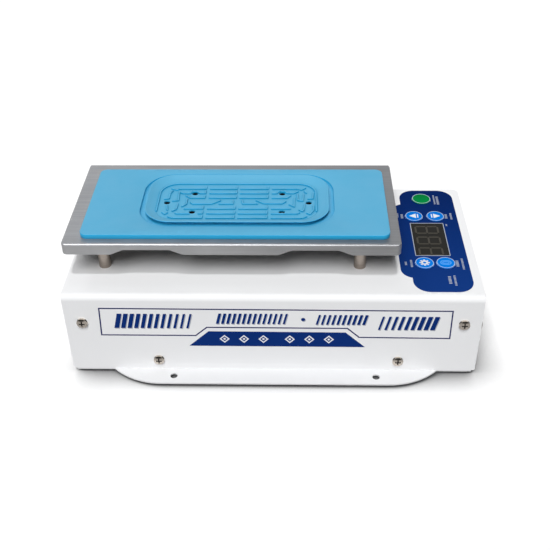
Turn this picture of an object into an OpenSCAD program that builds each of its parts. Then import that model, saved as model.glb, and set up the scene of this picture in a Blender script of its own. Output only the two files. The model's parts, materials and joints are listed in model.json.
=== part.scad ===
// Screen separator: a heated suction plate on pillars over a folded sheet-steel control case

/* [Case] */
// Width of the case, left to right
case_w = 300; // [280:1:340]
// Depth of the case, front to back
case_d = 145.5; // [140:0.5:170]
// Height of the case above its base sheet
case_h = 68.6; // [66:0.1:90]
// Thickness of the folded steel sheets
sheet = 1.2; // [1:0.1:1.6]
// Outer radius of the fold along the front top edge
fold_r = 4.5; // [3:0.5:6]
// Radius of the two rear corners of the top sheet
rear_corner_r = 5; // [2:0.5:8]
// Radius of the two lower corners of the front sheet
front_corner_r = 2; // [1:0.5:5]
// Height of the upper front screws above the base sheet
high_screw_z = 44.3; // [38:0.1:50]
// Height of the lower front screws above the base sheet
low_screw_z = 9; // [8:0.1:12]
// Distance of the upper front screws from the side of the case
high_screw_in = 12.5; // [11:0.1:16]
// Distance between the two lower front screws
low_screw_span = 177.2; // [140:0.1:190]

/* [Base] */
// Thickness of the four rubber feet
foot_h = 2.2; // [2:0.1:6]
// Diameter of the rubber feet
foot_d = 14; // [10:0.5:20]
// How far the mounting ears stand out in front and behind
ear_out = 15.65; // [14:0.05:20]
// Half of the ear's width where it meets the case
ear_half_w = 120.5; // [100:0.5:130]
// Radius of the ear's curved ends
ear_r = 51.7; // [40:0.1:60]
// Diameter of the holes in the ears
ear_hole_d = 5.5; // [4.5:0.1:6.5]
// Distance between the two holes of one ear
ear_hole_span = 150; // [120:1:170]
// Distance of the holes from the ear's outer edge
ear_hole_in = 7.7; // [6:0.1:9]

/* [Hot plate] */
// Width of the case's top that the plate leaves free
plate_room = 60.8; // [58:0.1:66]
// Depth of the hot plate
plate_d = 112; // [108:0.1:118]
// Height of the plate's folded edge
plate_h = 8.9; // [8:0.1:12]
// Thickness of the plate's metal
plate_t = 2; // [1.5:0.1:2.5]
// Space between the case and the underside of the plate's top
pillar_h = 31; // [28:0.5:40]
// Diameter of the four pillars
pillar_d = 9.1; // [8:0.1:10]
// Distance of the pillars from the plate's left and right edges
pillar_in_x = 25.65; // [22:0.05:28]
// Distance of the pillars from the plate's front and rear edges
pillar_in_y = 21; // [17:0.1:23]

/* [Silicone mat] */
// Margin of bare plate at the mat's left edge
mat_left_in = 12.3; // [7:0.1:17]
// Margin of bare plate at the mat's right edge
mat_right_in = 7.7; // [4:0.1:12]
// Margin of bare plate in front of the mat
mat_front_in = 6.3; // [4:0.05:9]
// Margin of bare plate behind the mat
mat_rear_in = 14; // [8:0.05:16]
// Thickness of the mat
mat_t = 3.77; // [3:0.01:5]
// Distance of the raised suction pad from the mat's left and right edges
pad_in_x = 40.65; // [36:0.05:44]
// Distance of the raised suction pad from the mat's front and rear edges
pad_in_y = 10.95; // [8:0.05:12]
// Height of the pad's lip above the mat
pad_h = 1.96; // [1.5:0.01:3]
// Corner radius of the pad
pad_r = 22; // [18:0.5:28]
// Diameter of the six suction holes
suction_d = 4.7; // [3:0.1:5]

/* [Control panel] */
// Thickness of the printed overlay
overlay_t = 0.5; // [0.4:0.1:0.8]
// Diameter of the power key
power_key_d = 14.8; // [13:0.1:15]
// Diameter of the four blue keys
key_d = 13.7; // [12:0.1:14.2]
// Travel of the keys
key_travel = 0.4; // [0.3:0.05:0.6]
// Width of the display window
window_w = 25; // [24:0.1:27]
// Depth of the display window
window_d = 43.1; // [42:0.1:46]

/* [Hidden] */

$fn = 64;
// Overrun of every cut past the face that it opens
over = 0.5;
// Seam left between two folded sheets
seam = 0.2;
// Radial clearance of a screw in its thread
thread_gap = 0.02;
// Radial clearance of a piece that is pushed into its seat
seat_gap = 0.05;
// Running clearance of a piece that moves
run_gap = 0.2;

// Levels and faces of the case
base_top = foot_h + sheet;
case_top = base_top + case_h;
roof = case_top - sheet;
front_y = -case_d / 2;
front_in = front_y + sheet;
rear_y = case_d / 2 - seam;
rear_in = rear_y - sheet;
side_x = case_w / 2 - seam;
side_in = side_x - sheet;

// Pan-head case screws
screw_d = 4;
screw_head_d = 8;
screw_head_h = 2.4;
screw_edge_h = 1.4;
screw_len = 8;
screw_hole_gap = 0.2;
cross_w = 1;
cross_len = 4.4;
cross_deep = 1.2;
small_screw_share = 0.75;
small_head_share = 0.6875;

// Base tray: its side folds, the tabs cut from its floor and the slots in its sides
base_fold_r = 2.4;
ear_shift = 1.4;
low_screw_shift = 3.8;
tab_w = 18;
tab_h = 16;
ear_flat = sqrt(pow(ear_r, 2) - pow(ear_r - ear_out, 2));
ear_straight = ear_half_w - ear_flat;
low_screw_x = [for (s = [-1, 1]) low_screw_shift + s * low_screw_span / 2];
vent_w = 3;
vent_len = 22;
vent_pitch = 8;
vent_count = 9;
vent_z = 20;
foot_in_x = 24;
foot_in_y = 20;

// Corner brackets and the screws that reach them
bracket_t = 1.5;
bracket_r = 2.6;
bracket_leg = 22;
bracket_h = 18;
bracket_z = base_top + high_screw_z - bracket_h / 2 - 3 * bracket_t;
side_screw_drop = 4.8;
side_screw_z = base_top + high_screw_z - side_screw_drop;
side_screw_right_in = 7.25;
side_screw_in = 13;

// Rear panel
rear_flange = 12;
rear_fold_r = 2.4;
roof_screw_in = 8;
roof_screw_shares = [-0.787, 0.413];
roof_screw_x = [for (k = roof_screw_shares) k * case_w / 2];

// Hot plate
plate_in = 1.5;
plate_w = case_w - plate_room;
plate_x = plate_in + plate_w / 2 - case_w / 2;
plate_under = case_top + pillar_h;
plate_top = plate_under + plate_t;
plate_bottom = plate_top - plate_h;
plate_edge_r = 1.6;
plate_corner_r = 4;
relief_w = 51.6;
relief_top_w = 33;
relief_h = 4;
relief_span = 118.8;
pillar_shift = -1.35;
pillar_x = plate_x + pillar_shift;
pillar_span_x = plate_w - 2 * pillar_in_x;
pillar_span_y = plate_d - 2 * pillar_in_y;
pillar_places = [for (sx = [-1, 1], sy = [-1, 1])
    [pillar_x + sx * pillar_span_x / 2, sy * pillar_span_y / 2]];
sunk_head_d = 7.6;
sunk_head_h = 2;

// Mat and its suction pad
mat_w = plate_w - mat_left_in - mat_right_in;
mat_d = plate_d - mat_front_in - mat_rear_in;
mat_x = plate_x + (mat_left_in - mat_right_in) / 2;
mat_y = (mat_front_in - mat_rear_in) / 2;
mat_r = 5.5;
mat_top = plate_top + mat_t;
pad_shift = [0.2, 1.45];
pad_w = mat_w - 2 * pad_in_x;
pad_d = mat_d - 2 * pad_in_y;
pad_x = mat_x + pad_shift[0];
pad_y = mat_y + pad_shift[1];
pad_top = mat_top + pad_h;
lip_rim = 2;
lip_in = 10.3;
lip_deep = 2.9;
lip_count = 4;
lip_steps = [for (k = [1:lip_count])
    [lip_rim + (lip_in - lip_rim) * (k - 1) / (lip_count - 1), lip_deep * k / lip_count]];
suction_drop = 3.2;
suction_y = pad_y - suction_drop;
suction_end_in = 6.15;
suction_step = 19.7;
suction_side_in = 11.9;
suction_end_x = pad_w / 2 - lip_in - suction_end_in;
suction_side_x = suction_end_x - suction_step;
suction_side_y = pad_d / 2 - lip_in - suction_side_in;
suction_places = concat(
    [for (sx = [-1, 1], sy = [-1, 1]) [pad_x + sx * suction_side_x, suction_y + sy * suction_side_y]],
    [for (sx = [-1, 1]) [pad_x + sx * suction_end_x, suction_y]]
);

// Heater and insulation under the plate
heater_t = 1.5;
heater_in = 6;
heater_window_gap = 1.5;
insulation_t = 3;
pillar_ring_gap = 1.5;
heater_bottom = plate_under - heater_t;
insulation_bottom = heater_bottom - insulation_t;

// Suction manifold
gasket_t = 1;
manifold_wall = 4;
manifold_w = 2 * suction_end_x + suction_d + 2 * manifold_wall;
manifold_d = 2 * suction_side_y + suction_d + 2 * manifold_wall;
manifold_flange = 6;
manifold_screw_share = 0.7;
manifold_flange_t = 2.5;
manifold_h = 9;
manifold_r = 4;
manifold_top = plate_under - gasket_t;
manifold_bottom = manifold_top - manifold_h;
small_d = screw_d * small_screw_share;
small_head_d = screw_head_d * small_head_share;
manifold_screw_x = manifold_screw_share * manifold_w / 2;
manifold_screw_y = (manifold_d + manifold_flange) / 2;
manifold_screw_places = [for (sx = [-1, 1], sy = [-1, 1])
    [pad_x + sx * manifold_screw_x, suction_y + sy * manifold_screw_y]];

// Suction hose between the manifold and the pump
barb_d = 6;
barb_bore = 3;
barb_len = 9;
barb_collar_d = 9;
barb_collar_h = 2;
barb_thread_len = 3;
hose_d = 9;
hose_y = suction_y + suction_side_y / 2;
hose_x = pad_x;
hose_top = manifold_bottom - barb_collar_h;
grommet_lip = 2.5;
grommet_lip_h = 1.6;
grommet_wall = 2;
grommet_hole_d = hose_d + 2 * grommet_wall;

// Thermal cut-out under the right part of the plate
cutout_gap = 20.15;
cutout_x = pad_x + manifold_w / 2 + manifold_flange + cutout_gap;
cutout_d = 16;
cutout_h = 8;
cutout_flange_w = 30;
cutout_flange_d = 12;
cutout_flange_t = 1;
cutout_screw_span = 23.8;

// Printed overlay, its left bulge and the pieces that it frames
panel_in = 27.6;
panel_x = case_w / 2 - panel_in;
panel_y = 1.75;
panel_centre = [panel_x, panel_y];
panel_w = 42.8;
panel_end_in = 4.6;
panel_d = case_d - 2 * panel_end_in;
panel_r = 12;
bulge_w = 15;
bulge_end_in = 18.65;
bulge_d = panel_d - 2 * bulge_end_in;
bulge_out = 7.7;
bulge_x = panel_x - panel_w / 2 - bulge_out;
bulge_y = -0.5;
bulge_r = 10.5;
window_shift = [-3.6, -2.7];
window_x = panel_x + window_shift[0];
window_y = panel_y + window_shift[1];
window_ledge = 1.5;
key_rise = 0.45;
key_t = 0.5;
key_stem_d = 4;
key_hole_d = 7;
key_crown = 0.15;
power_key_in = 13.4;
power_key_shift = [-3.9, panel_d / 2 - power_key_in];
lower_key_shift = [-12.4, 28.85];
raise_key_shift = [4.4, 28.85];
set_key_shift = [-11, -34.2];
pump_key_shift = [4.6, -34.05];
power_key_xy = panel_centre + power_key_shift;
lower_key_xy = panel_centre + lower_key_shift;
raise_key_xy = panel_centre + raise_key_shift;
set_key_xy = panel_centre + set_key_shift;
pump_key_xy = panel_centre + pump_key_shift;
key_places = [power_key_xy, lower_key_xy, raise_key_xy, set_key_xy, pump_key_xy];

// Control board under the panel
board_t = 1.6;
control_w = 38;
control_end_in = 11.75;
control_d = case_d - 2 * control_end_in;
spacer_h = 8.4;
spacer_d = 6;
control_top = roof - spacer_h;
control_bottom = control_top - board_t;
spacer_in = 3.5;
spacer_places = [for (sx = [-1, 1], sy = [-1, 1])
    [panel_x + sx * (control_w / 2 - spacer_in), sy * (control_d / 2 - 2 * spacer_in)]];
tact_w = 6;
tact_h = 3.5;
tact_well_deep = 1;
tact_well_gap = 0.3;
display_w = 20;
display_d = 39;
display_gap = 0.4;

// Linear vacuum pump: a magnet bar between two cores works one rubber diaphragm
pump_y = hose_y;
pump_side_gap = 11.1;
pump_frame_d = 48;
pump_frame_t = 2;
damper_h = 8;
damper_d = 12;
damper_neck_d = 5;
damper_in = 7;
pump_floor = base_top + damper_h;
pump_plate_h = 44;
pump_axis_up = 22;
pump_axis_z = pump_floor + pump_axis_up;
pump_port_d = 21;
armature_w = 14;
armature_h = 6;
magnet_w = 12;
magnet_h = 11;
magnet_span = 24;
hub_d = 16;
hub_t = 3;
diaphragm_d = 38;
diaphragm_t = 2;
diaphragm_bead = 1.2;
head_w = 18;
head_size = 40;
head_r = 4;
chamber_d = 30;
chamber_deep = 6;
cap_w = 10;
pump_core_len = 48;
pump_core_h = 22;
pump_core_leg = 8;
pump_core_back = 6;
pump_core_reach = 15;
magnet_air = 1.2;
hose_in_head = 11.6;
head_x = hose_x - hose_in_head;
pump_right = head_x - diaphragm_t;
pump_left = pump_side_gap + cap_w + diaphragm_t - side_in;
pump_frame_w = pump_right - pump_left;
pump_x = (pump_left + pump_right) / 2;
head_top = pump_axis_z + head_size / 2;
silencer_d = 9;
silencer_len = 12;
outlet_y = pump_y - head_size / 2 + silencer_d;

// Power board on the floor of the case
power_gap = 10.5;
power_w = 96;
power_front_gap = 9.55;
terminal_gap = 3.35;
terminal_d = 10;
terminal_y = suction_y + manifold_d / 2 + manifold_flange + terminal_gap;
power_d = terminal_y + terminal_d / 2 - front_in - power_front_gap;
power_y = terminal_y + terminal_d / 2 - power_d / 2;
power_x = head_x + head_w + power_gap + power_w / 2;
power_spacer_h = 6;
power_bottom = base_top + power_spacer_h;
power_top = power_bottom + board_t;
power_spacer_in = 5;
power_spacer_places = [for (sx = [-1, 1], sy = [-1, 1])
    [power_x + sx * (power_w / 2 - power_spacer_in), power_y + sy * (power_d / 2 - power_spacer_in)]];
core_w = 48;
core_d = 18;
core_h = 40;
core_leg = 8;
coil_over = 8;
core_x = power_x - power_w / 2 + core_w / 2;
core_y = power_y - power_d / 5;
winding_gap = 0.3;
sink_w = 40;
sink_d = 14;
sink_h = 30;
sink_back = 3;
fin_t = 2;
fin_count = 6;
sink_side_gap = 0.4;
triac_w = 10;
triac_d = 4.5;
triac_h = 16;
relay_w = 19;
relay_d = 15.5;
relay_h = 15;
relay_x = power_x + power_w / 4;
relay_front_in = 2;
relay_y = power_y - power_d / 2 + relay_front_in + relay_d / 2;
capacitor_d = 13;
capacitor_h = 24;
capacitor_pitch = 14;
capacitor_side_gap = 0.5;
capacitor_sink_gap = 0.5;
terminal_w = 36;
terminal_h = 12;
terminal_x = power_x - power_w / 5;
sink_x = terminal_x + (terminal_w + sink_w) / 2 + sink_side_gap;
terminal_well_d = 4;
terminal_well_deep = 5;
terminal_count = 6;
socket_w = 8;
socket_d = 20;
socket_h = 8;
ribbon_t = 1;
ribbon_d = 16;
ribbon_r = 4;
ribbon_turn_share = 0.55;
ribbon_turn_z = base_top + ribbon_turn_share * case_h;
power_socket_x = power_x + power_w / 2 - socket_w;
power_socket_y = power_y - power_d / 6;
control_socket_x = panel_x - control_w / 4;
capacitor_x = power_socket_x - socket_w / 2 - capacitor_side_gap - capacitor_d / 2;

// Straight leads from the heater to the terminal block
lead_d = 2;
lead_pitch = terminal_w / terminal_count;
heater_lead_x = [terminal_x + lead_pitch / 2, terminal_x + lead_pitch * 1.5];
lead_hole_x = terminal_x + lead_pitch;
grommet_places = [[hose_x, hose_y], [lead_hole_x, terminal_y]];

// Mains inlet with its fuse drawer
inlet_in = 54;
inlet_x = case_w / 2 - inlet_in;
inlet_height_share = 0.48;
inlet_z = base_top + inlet_height_share * case_h;
inlet_flange_w = 50;
inlet_flange_h = 34;
inlet_flange_t = 2.6;
inlet_body_w = 28;
inlet_body_h = 31;
inlet_body_deep = 24;
socket_open_w = 24.2;
socket_open_h = 16.4;
socket_open_deep = 17;
socket_open_z = 4.2;
blade_t = 2;
blade_h = 4;
blade_len = 14;
blade_tab_len = 8;
blade_x = 7;
blade_low = -2.6;
blade_high = 3.4;
drawer_w = 24;
drawer_h = 7;
drawer_deep = 11;
drawer_z = -10.6;
drawer_gap = 0.15;
drawer_wall = 1;
drawer_lip = 1.2;
fuse_d = 5.2;
fuse_len = 20;
fuse_cap_len = 5;
inlet_screw_span = 40;

// Rocker switch
switch_out = 46;
switch_x = inlet_x - switch_out;
switch_w = 13;
switch_h = 19.4;
switch_deep = 20;
switch_bezel = 1.4;
switch_bezel_t = 1.8;
rocker_w = 10.4;
rocker_r = 8;
rocker_pivot_in = 3.2;
rocker_tilt = 11;
rocker_low = 2.4;
rocker_gap = 0.3;
pivot_d = 2.4;
pivot_gap = 0.06;
switch_tab_w = 4.8;
switch_tab_t = 0.8;
switch_tab_len = 8;
switch_tab_z = 5;

// Swept leads: turns between two given points
lead_sides = 8;
curve_steps = 5;
lead_stub = 7;
lead_gap = 0.5;
inlet_tab_y = rear_y - inlet_body_deep - blade_tab_len - lead_gap;
sink_gap = 13.05;
sink_y = inlet_tab_y - sink_gap - sink_d;
capacitor_y = sink_y - triac_d - capacitor_sink_gap - capacitor_d / 2 - capacitor_pitch;
switch_tab_y = rear_y - switch_deep - switch_tab_len - lead_gap;
blade_low_z = inlet_z + socket_open_z + blade_low;
blade_high_z = inlet_z + socket_open_z + blade_high;
block_z = power_top + terminal_h;
live_well_x = terminal_x - lead_pitch / 2;
neutral_well_x = live_well_x - 2 * lead_pitch;
earth_stud_d = 4;
earth_stud_h = 10;
earth_nut_d = 7.4;
earth_nut_h = 3.2;
earth_out = 26;
earth_in_y = 27.75;
earth_x = inlet_x - earth_out;
earth_y = case_d / 2 - earth_in_y;

// Straight strip with one round fold, its outer corner at the origin, legs to -x and +y
module bent_strip(leg_x, leg_y, r, t) {
    translate([-r, r])
        intersection() {
            difference() {
                circle(r);
                circle(r - t);
            }
            translate([0, -r])
                square(r);
        }
    translate([-leg_x, 0])
        square([leg_x - r, t]);
    translate([-t, r])
        square([t, leg_y - r]);
}

// What a round corner takes off a square one whose tip is at the origin
module corner_bite(r) {
    translate([-r, -r])
        difference() {
            square(r + over);
            circle(r);
        }
}

module rounded_outline(w, d, r) {
    square([w - 2 * r, d], center = true);
    square([w, d - 2 * r], center = true);
    for (sx = [-1, 1], sy = [-1, 1])
        translate([sx * (w / 2 - r), sy * (d / 2 - r)])
            circle(r);
}

module rounded_block(w, d, h, r) {
    linear_extrude(h)
        rounded_outline(w, d, r);
}

module block(w, d, h) {
    translate([-w / 2, -d / 2, 0])
        cube([w, d, h]);
}

// Block whose upper edges are folded round, as a pan bent from one sheet
module folded_profile(w, h, r) {
    translate([-w / 2, 0])
        square([w, h - r]);
    translate([-w / 2 + r, 0])
        square([w - 2 * r, h]);
    for (s = [-1, 1])
        translate([s * (w / 2 - r), h - r])
            circle(r);
}

module folded_block(w, d, h, r, corner_r) {
    intersection() {
        translate([0, d / 2, 0])
            rotate([90, 0, 0])
                linear_extrude(d)
                    folded_profile(w, h, r);
        translate([-w / 2, 0, 0])
            rotate([90, 0, 90])
                linear_extrude(w)
                    folded_profile(d, h, r);
        rounded_block(w, d, h, corner_r);
    }
}

// Pan-head screw along z, its head standing on z = 0
module pan_screw(len, d = screw_d, head_d = screw_head_d) {
    k = head_d / screw_head_d;
    crown = k * (screw_head_h - screw_edge_h);
    ball_r = (pow(head_d / 2, 2) + pow(crown, 2)) / (2 * crown);
    difference() {
        intersection() {
            cylinder(d = head_d, h = k * screw_head_h);
            translate([0, 0, k * screw_head_h - ball_r])
                sphere(ball_r);
        }
        for (a = [0, 90])
            rotate(a)
                translate([0, 0, k * (screw_head_h - cross_deep)])
                    block(k * cross_len, k * cross_w, k * screw_head_h);
    }
    translate([0, 0, -len])
        cylinder(d = d, h = len);
}

// Round hole along z through a wall that starts at z = 0
module hole(d, t) {
    translate([0, 0, -over])
        cylinder(d = d, h = t + 2 * over);
}

module tube(d, bore, h) {
    difference() {
        cylinder(d = d, h = h);
        hole(bore, h);
    }
}

// Points on a smooth curve through a route
function spline(p, i, t) = let (
    a = p[max(i - 1, 0)],
    b = p[i],
    c = p[i + 1],
    d = p[min(i + 2, len(p) - 1)]
) 0.5 * (2 * b + (c - a) * t + (2 * a - 5 * b + 4 * c - d) * t * t + (3 * b - a - 3 * c + d) * t * t * t);

function smooth_route(p) = concat(
    [for (i = [0:len(p) - 2], k = [0:curve_steps - 1]) spline(p, i, k / curve_steps)],
    [p[len(p) - 1]]
);

function unit(v) = v / norm(v);

function ring(c, t, side, r) = let (
    a = unit(cross(side, t)),
    b = cross(t, a)
) [for (i = [0:lead_sides - 1]) c + r * (cos(360 * i / lead_sides) * a + sin(360 * i / lead_sides) * b)];

// Round lead swept along a route
module swept_lead(route, side, r) {
    c = smooth_route(route);
    n = len(c);
    m = lead_sides;
    points = [for (i = [0:n - 1])
        each ring(c[i], unit(c[min(i + 1, n - 1)] - c[max(i - 1, 0)]), side, r)];
    walls = [for (i = [0:n - 2], k = [0:m - 1])
        [i * m + k, (i + 1) * m + k, (i + 1) * m + (k + 1) % m, i * m + (k + 1) % m]];
    ends = [[for (k = [0:m - 1]) k], [for (k = [m - 1:-1:0]) (n - 1) * m + k]];
    polyhedron(points = points, faces = concat(walls, ends));
}

// Places of the case screws: each takes the child to its seat
module at_front_screws() {
    for (s = [-1, 1])
        translate([s * (case_w / 2 - high_screw_in), front_y, base_top + high_screw_z])
            rotate([90, 0, 0])
                children();
    for (x = low_screw_x)
        translate([x, front_y, base_top + low_screw_z])
            rotate([90, 0, 0])
                children();
}

module at_rear_screws() {
    for (s = [-1, 1])
        translate([s * (case_w / 2 - high_screw_in), rear_y, base_top + high_screw_z])
            rotate([-90, 0, 0])
                children();
    for (x = low_screw_x)
        translate([x, rear_y, base_top + low_screw_z])
            rotate([-90, 0, 0])
                children();
}

module at_side_screws() {
    translate([side_x, front_y + side_screw_right_in, side_screw_z])
        rotate([0, 90, 0])
            children();
    translate([side_x, rear_y - side_screw_in, side_screw_z])
        rotate([0, 90, 0])
            children();
    for (y = [front_y + side_screw_in, rear_y - side_screw_in])
        translate([-side_x, y, side_screw_z])
            rotate([0, -90, 0])
                children();
}

module at_roof_screws() {
    for (x = roof_screw_x)
        translate([x, rear_y - roof_screw_in, case_top])
            children();
}

// A screw's clearance through the outer sheet and its thread in the inner one
module screw_path() {
    translate([0, 0, -sheet])
        hole(screw_d + 2 * screw_hole_gap, sheet);
}

module screw_thread(t) {
    translate([0, 0, -sheet - t])
        hole(screw_d + 2 * thread_gap, t);
}

module base_outline() {
    square([2 * (side_x - base_fold_r), case_d], center = true);
    intersection() {
        translate([ear_shift, 0])
            square([2 * ear_half_w, case_d + 2 * ear_out], center = true);
        for (m = [0, 1])
            mirror([0, m]) {
                translate([ear_shift - ear_straight, -case_d / 2 - ear_out])
                    square([2 * ear_straight, case_d / 2 + ear_out]);
                for (s = [-1, 1])
                    translate([ear_shift + s * ear_straight, -case_d / 2 - ear_out + ear_r])
                        circle(ear_r);
            }
    }
}

module base_tray() {
    wall_len = rear_in - front_in - 2 * seam;
    color("gainsboro")
    difference() {
        union() {
            translate([0, 0, foot_h])
                linear_extrude(sheet)
                    base_outline();
            for (m = [0, 1])
                mirror([m, 0, 0])
                    translate([side_x, rear_in - seam, foot_h])
                        rotate([90, 0, 0])
                            linear_extrude(wall_len)
                                bent_strip(base_fold_r + sheet, roof - seam - foot_h, base_fold_r, sheet);
            for (x = low_screw_x) {
                translate([x, front_in + sheet / 2, foot_h])
                    block(tab_w, sheet, sheet + tab_h);
                translate([x, rear_in - sheet / 2, foot_h])
                    block(tab_w, sheet, sheet + tab_h);
            }
        }
        for (x = low_screw_x) {
            translate([x, front_in + sheet + tab_h / 2, foot_h - over])
                block(tab_w, tab_h, sheet + 2 * over);
            translate([x, rear_in - sheet - tab_h / 2, foot_h - over])
                block(tab_w, tab_h, sheet + 2 * over);
        }
        for (sx = [-1, 1], sy = [-1, 1])
            translate([ear_shift + sx * ear_hole_span / 2, sy * (case_d / 2 + ear_out - ear_hole_in), foot_h])
                hole(ear_hole_d, sheet);
        for (sx = [-1, 1], k = [0:vent_count - 1])
            translate([sx * side_x, (k - (vent_count - 1) / 2) * vent_pitch, base_top + vent_z])
                rotate([0, -90 * sx, 0])
                    translate([0, 0, -over])
                        rounded_block(vent_len, vent_w, sheet + 2 * over, vent_w / 2 - seam);
        translate([-case_w / 2, front_in + seam, roof - seam])
            rotate([90, 0, 90])
                linear_extrude(case_w)
                    mirror([1, 0])
                        corner_bite(fold_r);
        at_front_screws()
            screw_thread(sheet);
        at_rear_screws()
            screw_thread(sheet);
        at_side_screws()
            screw_path();
        translate([earth_x, earth_y, foot_h])
            hole(earth_stud_d + 2 * thread_gap, sheet);
        for (p = power_spacer_places)
            translate([p[0], p[1], foot_h])
                hole(small_d + 2 * thread_gap, sheet);
    }
}

module top_cover() {
    color("white")
    difference() {
        translate([-case_w / 2, front_y, case_top])
            rotate([90, 0, 90])
                linear_extrude(case_w)
                    rotate(180)
                        bent_strip(case_d, case_h, fold_r, sheet);
        for (m = [0, 1])
            mirror([m, 0, 0]) {
                translate([case_w / 2, case_d / 2, roof - over])
                    linear_extrude(sheet + 2 * over)
                        corner_bite(rear_corner_r);
                translate([case_w / 2, front_in + over, base_top])
                    rotate([90, 0, 0])
                        linear_extrude(sheet + 2 * over)
                            mirror([0, 1])
                                corner_bite(front_corner_r);
            }
        at_front_screws()
            screw_path();
        at_roof_screws()
            screw_path();
        translate([window_x, window_y, roof - over])
            block(window_w - 2 * window_ledge, window_d - 2 * window_ledge, sheet + 2 * over);
        for (p = key_places)
            translate([p[0], p[1], roof])
                hole(key_hole_d, sheet);
        for (p = pillar_places)
            translate([p[0], p[1], roof])
                hole(screw_d + 2 * screw_hole_gap, sheet);
        for (p = grommet_places)
            translate([p[0], p[1], roof])
                hole(grommet_hole_d + 2 * seat_gap, sheet);
    }
}

module rear_panel() {
    color("gainsboro")
    difference() {
        union() {
            translate([-side_in + seam, rear_y, roof])
                rotate([90, 0, 90])
                    linear_extrude(2 * (side_in - seam))
                        mirror([0, 1])
                            bent_strip(rear_flange, roof - base_top, rear_fold_r, sheet);
            translate([0, (rear_y + rear_in) / 2, base_top])
                block(2 * side_x, sheet, roof - base_top - rear_fold_r);
        }
        at_rear_screws()
            screw_path();
        at_roof_screws()
            screw_thread(sheet);
        translate([inlet_x, rear_y + over, inlet_z - inlet_body_h / 2 - seat_gap])
            rotate([0, 0, 180])
                translate([-inlet_body_w / 2 - seat_gap, 0, 0])
                    cube([inlet_body_w + 2 * seat_gap, sheet + 2 * over, inlet_body_h + 2 * seat_gap]);
        for (s = [-1, 1])
            translate([inlet_x + s * inlet_screw_span / 2, rear_y, inlet_z])
                rotate([90, 0, 0])
                    hole(small_d + 2 * thread_gap, sheet);
        translate([switch_x, rear_y + over, inlet_z - switch_h / 2 - seat_gap])
            rotate([0, 0, 180])
                translate([-switch_w / 2 - seat_gap, 0, 0])
                    cube([switch_w + 2 * seat_gap, sheet + 2 * over, switch_h + 2 * seat_gap]);
        for (k = [0:vent_count - 1])
            translate([
                pump_x + (k - (vent_count - 1) / 2) * vent_pitch, rear_y + over, base_top + case_h / 2
            ])
                rotate([90, 0, 0])
                    rounded_block(vent_w, vent_len, sheet + 2 * over, vent_w / 2 - seam);
    }
}

module corner_brackets() {
    color("silver")
    difference() {
        for (m = [0, 1])
            mirror([m, 0, 0]) {
                translate([side_in, front_in, bracket_z])
                    linear_extrude(bracket_h)
                        bent_strip(bracket_leg, bracket_leg, bracket_r, bracket_t);
                translate([side_in, rear_in, bracket_z])
                    linear_extrude(bracket_h)
                        mirror([0, 1])
                            bent_strip(bracket_leg, bracket_leg, bracket_r, bracket_t);
            }
        at_front_screws()
            screw_thread(bracket_t);
        at_rear_screws()
            screw_thread(bracket_t);
        at_side_screws()
            screw_thread(bracket_t);
    }
}

module case_screws() {
    color("lightgray") {
        at_front_screws()
            pan_screw(screw_len);
        at_rear_screws()
            pan_screw(screw_len);
        at_side_screws()
            pan_screw(screw_len);
        at_roof_screws()
            pan_screw(screw_len);
    }
}

module rubber_feet() {
    color("dimgray")
    for (sx = [-1, 1], sy = [-1, 1])
        translate([sx * (case_w / 2 - foot_in_x), sy * (case_d / 2 - foot_in_y), 0]) {
            cylinder(d1 = foot_d - sheet, d2 = foot_d, h = foot_h / 2);
            translate([0, 0, foot_h / 2])
                cylinder(d = foot_d, h = foot_h / 2);
        }
}

module at_pillars(z) {
    for (p = pillar_places)
        translate([p[0], p[1], z])
            children();
}

module hot_plate() {
    color("silver")
    difference() {
        translate([plate_x, 0, plate_bottom])
            difference() {
                folded_block(plate_w, plate_d, plate_h, plate_edge_r, plate_corner_r);
                translate([0, 0, -over])
                    folded_block(
                        plate_w - 2 * plate_t, plate_d - 2 * plate_t, plate_h - plate_t + over,
                        max(plate_edge_r - plate_t, seam), plate_corner_r - plate_t
                    );
                for (s = [-1, 1])
                    translate([s * relief_span / 2, plate_d / 2 + over, 0])
                        rotate([90, 0, 0])
                            linear_extrude(plate_d + 2 * over)
                                polygon([
                                    [-relief_w / 2, -over], [-relief_w / 2, 0],
                                    [-relief_top_w / 2, relief_h], [relief_top_w / 2, relief_h],
                                    [relief_w / 2, 0], [relief_w / 2, -over]
                                ]);
            }
        at_pillars(plate_under)
            hole(screw_d + 2 * thread_gap, plate_t);
        at_pillars(plate_top - sunk_head_h)
            cylinder(d1 = screw_d, d2 = sunk_head_d, h = sunk_head_h + thread_gap);
        for (p = suction_places)
            translate([p[0], p[1], plate_under])
                hole(suction_d, plate_t);
        for (p = manifold_screw_places)
            translate([p[0], p[1], plate_under])
                hole(small_d + 2 * thread_gap, plate_t);
        for (s = [-1, 1])
            translate([cutout_x, s * cutout_screw_span / 2, plate_under])
                hole(small_d + 2 * thread_gap, plate_t);
    }
}

module plate_pillars() {
    color("tan")
    at_pillars(case_top)
        tube(pillar_d, screw_d + 2 * thread_gap, pillar_h);
}

module plate_screws() {
    color("lightgray")
    at_pillars(plate_top)
        difference() {
            union() {
                translate([0, 0, -sunk_head_h])
                    cylinder(
                        d1 = screw_d - 2 * thread_gap, d2 = sunk_head_d - 2 * thread_gap, h = sunk_head_h
                    );
                translate([0, 0, -sunk_head_h - screw_len])
                    cylinder(d = screw_d, h = screw_len);
            }
            for (a = [0, 90])
                rotate(a)
                    translate([0, 0, -cross_deep])
                        block(cross_len, cross_w, sunk_head_h);
        }
}

module pillar_screws() {
    color("lightgray")
    at_pillars(roof)
        rotate([180, 0, 0])
            pan_screw(screw_len);
}

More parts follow.
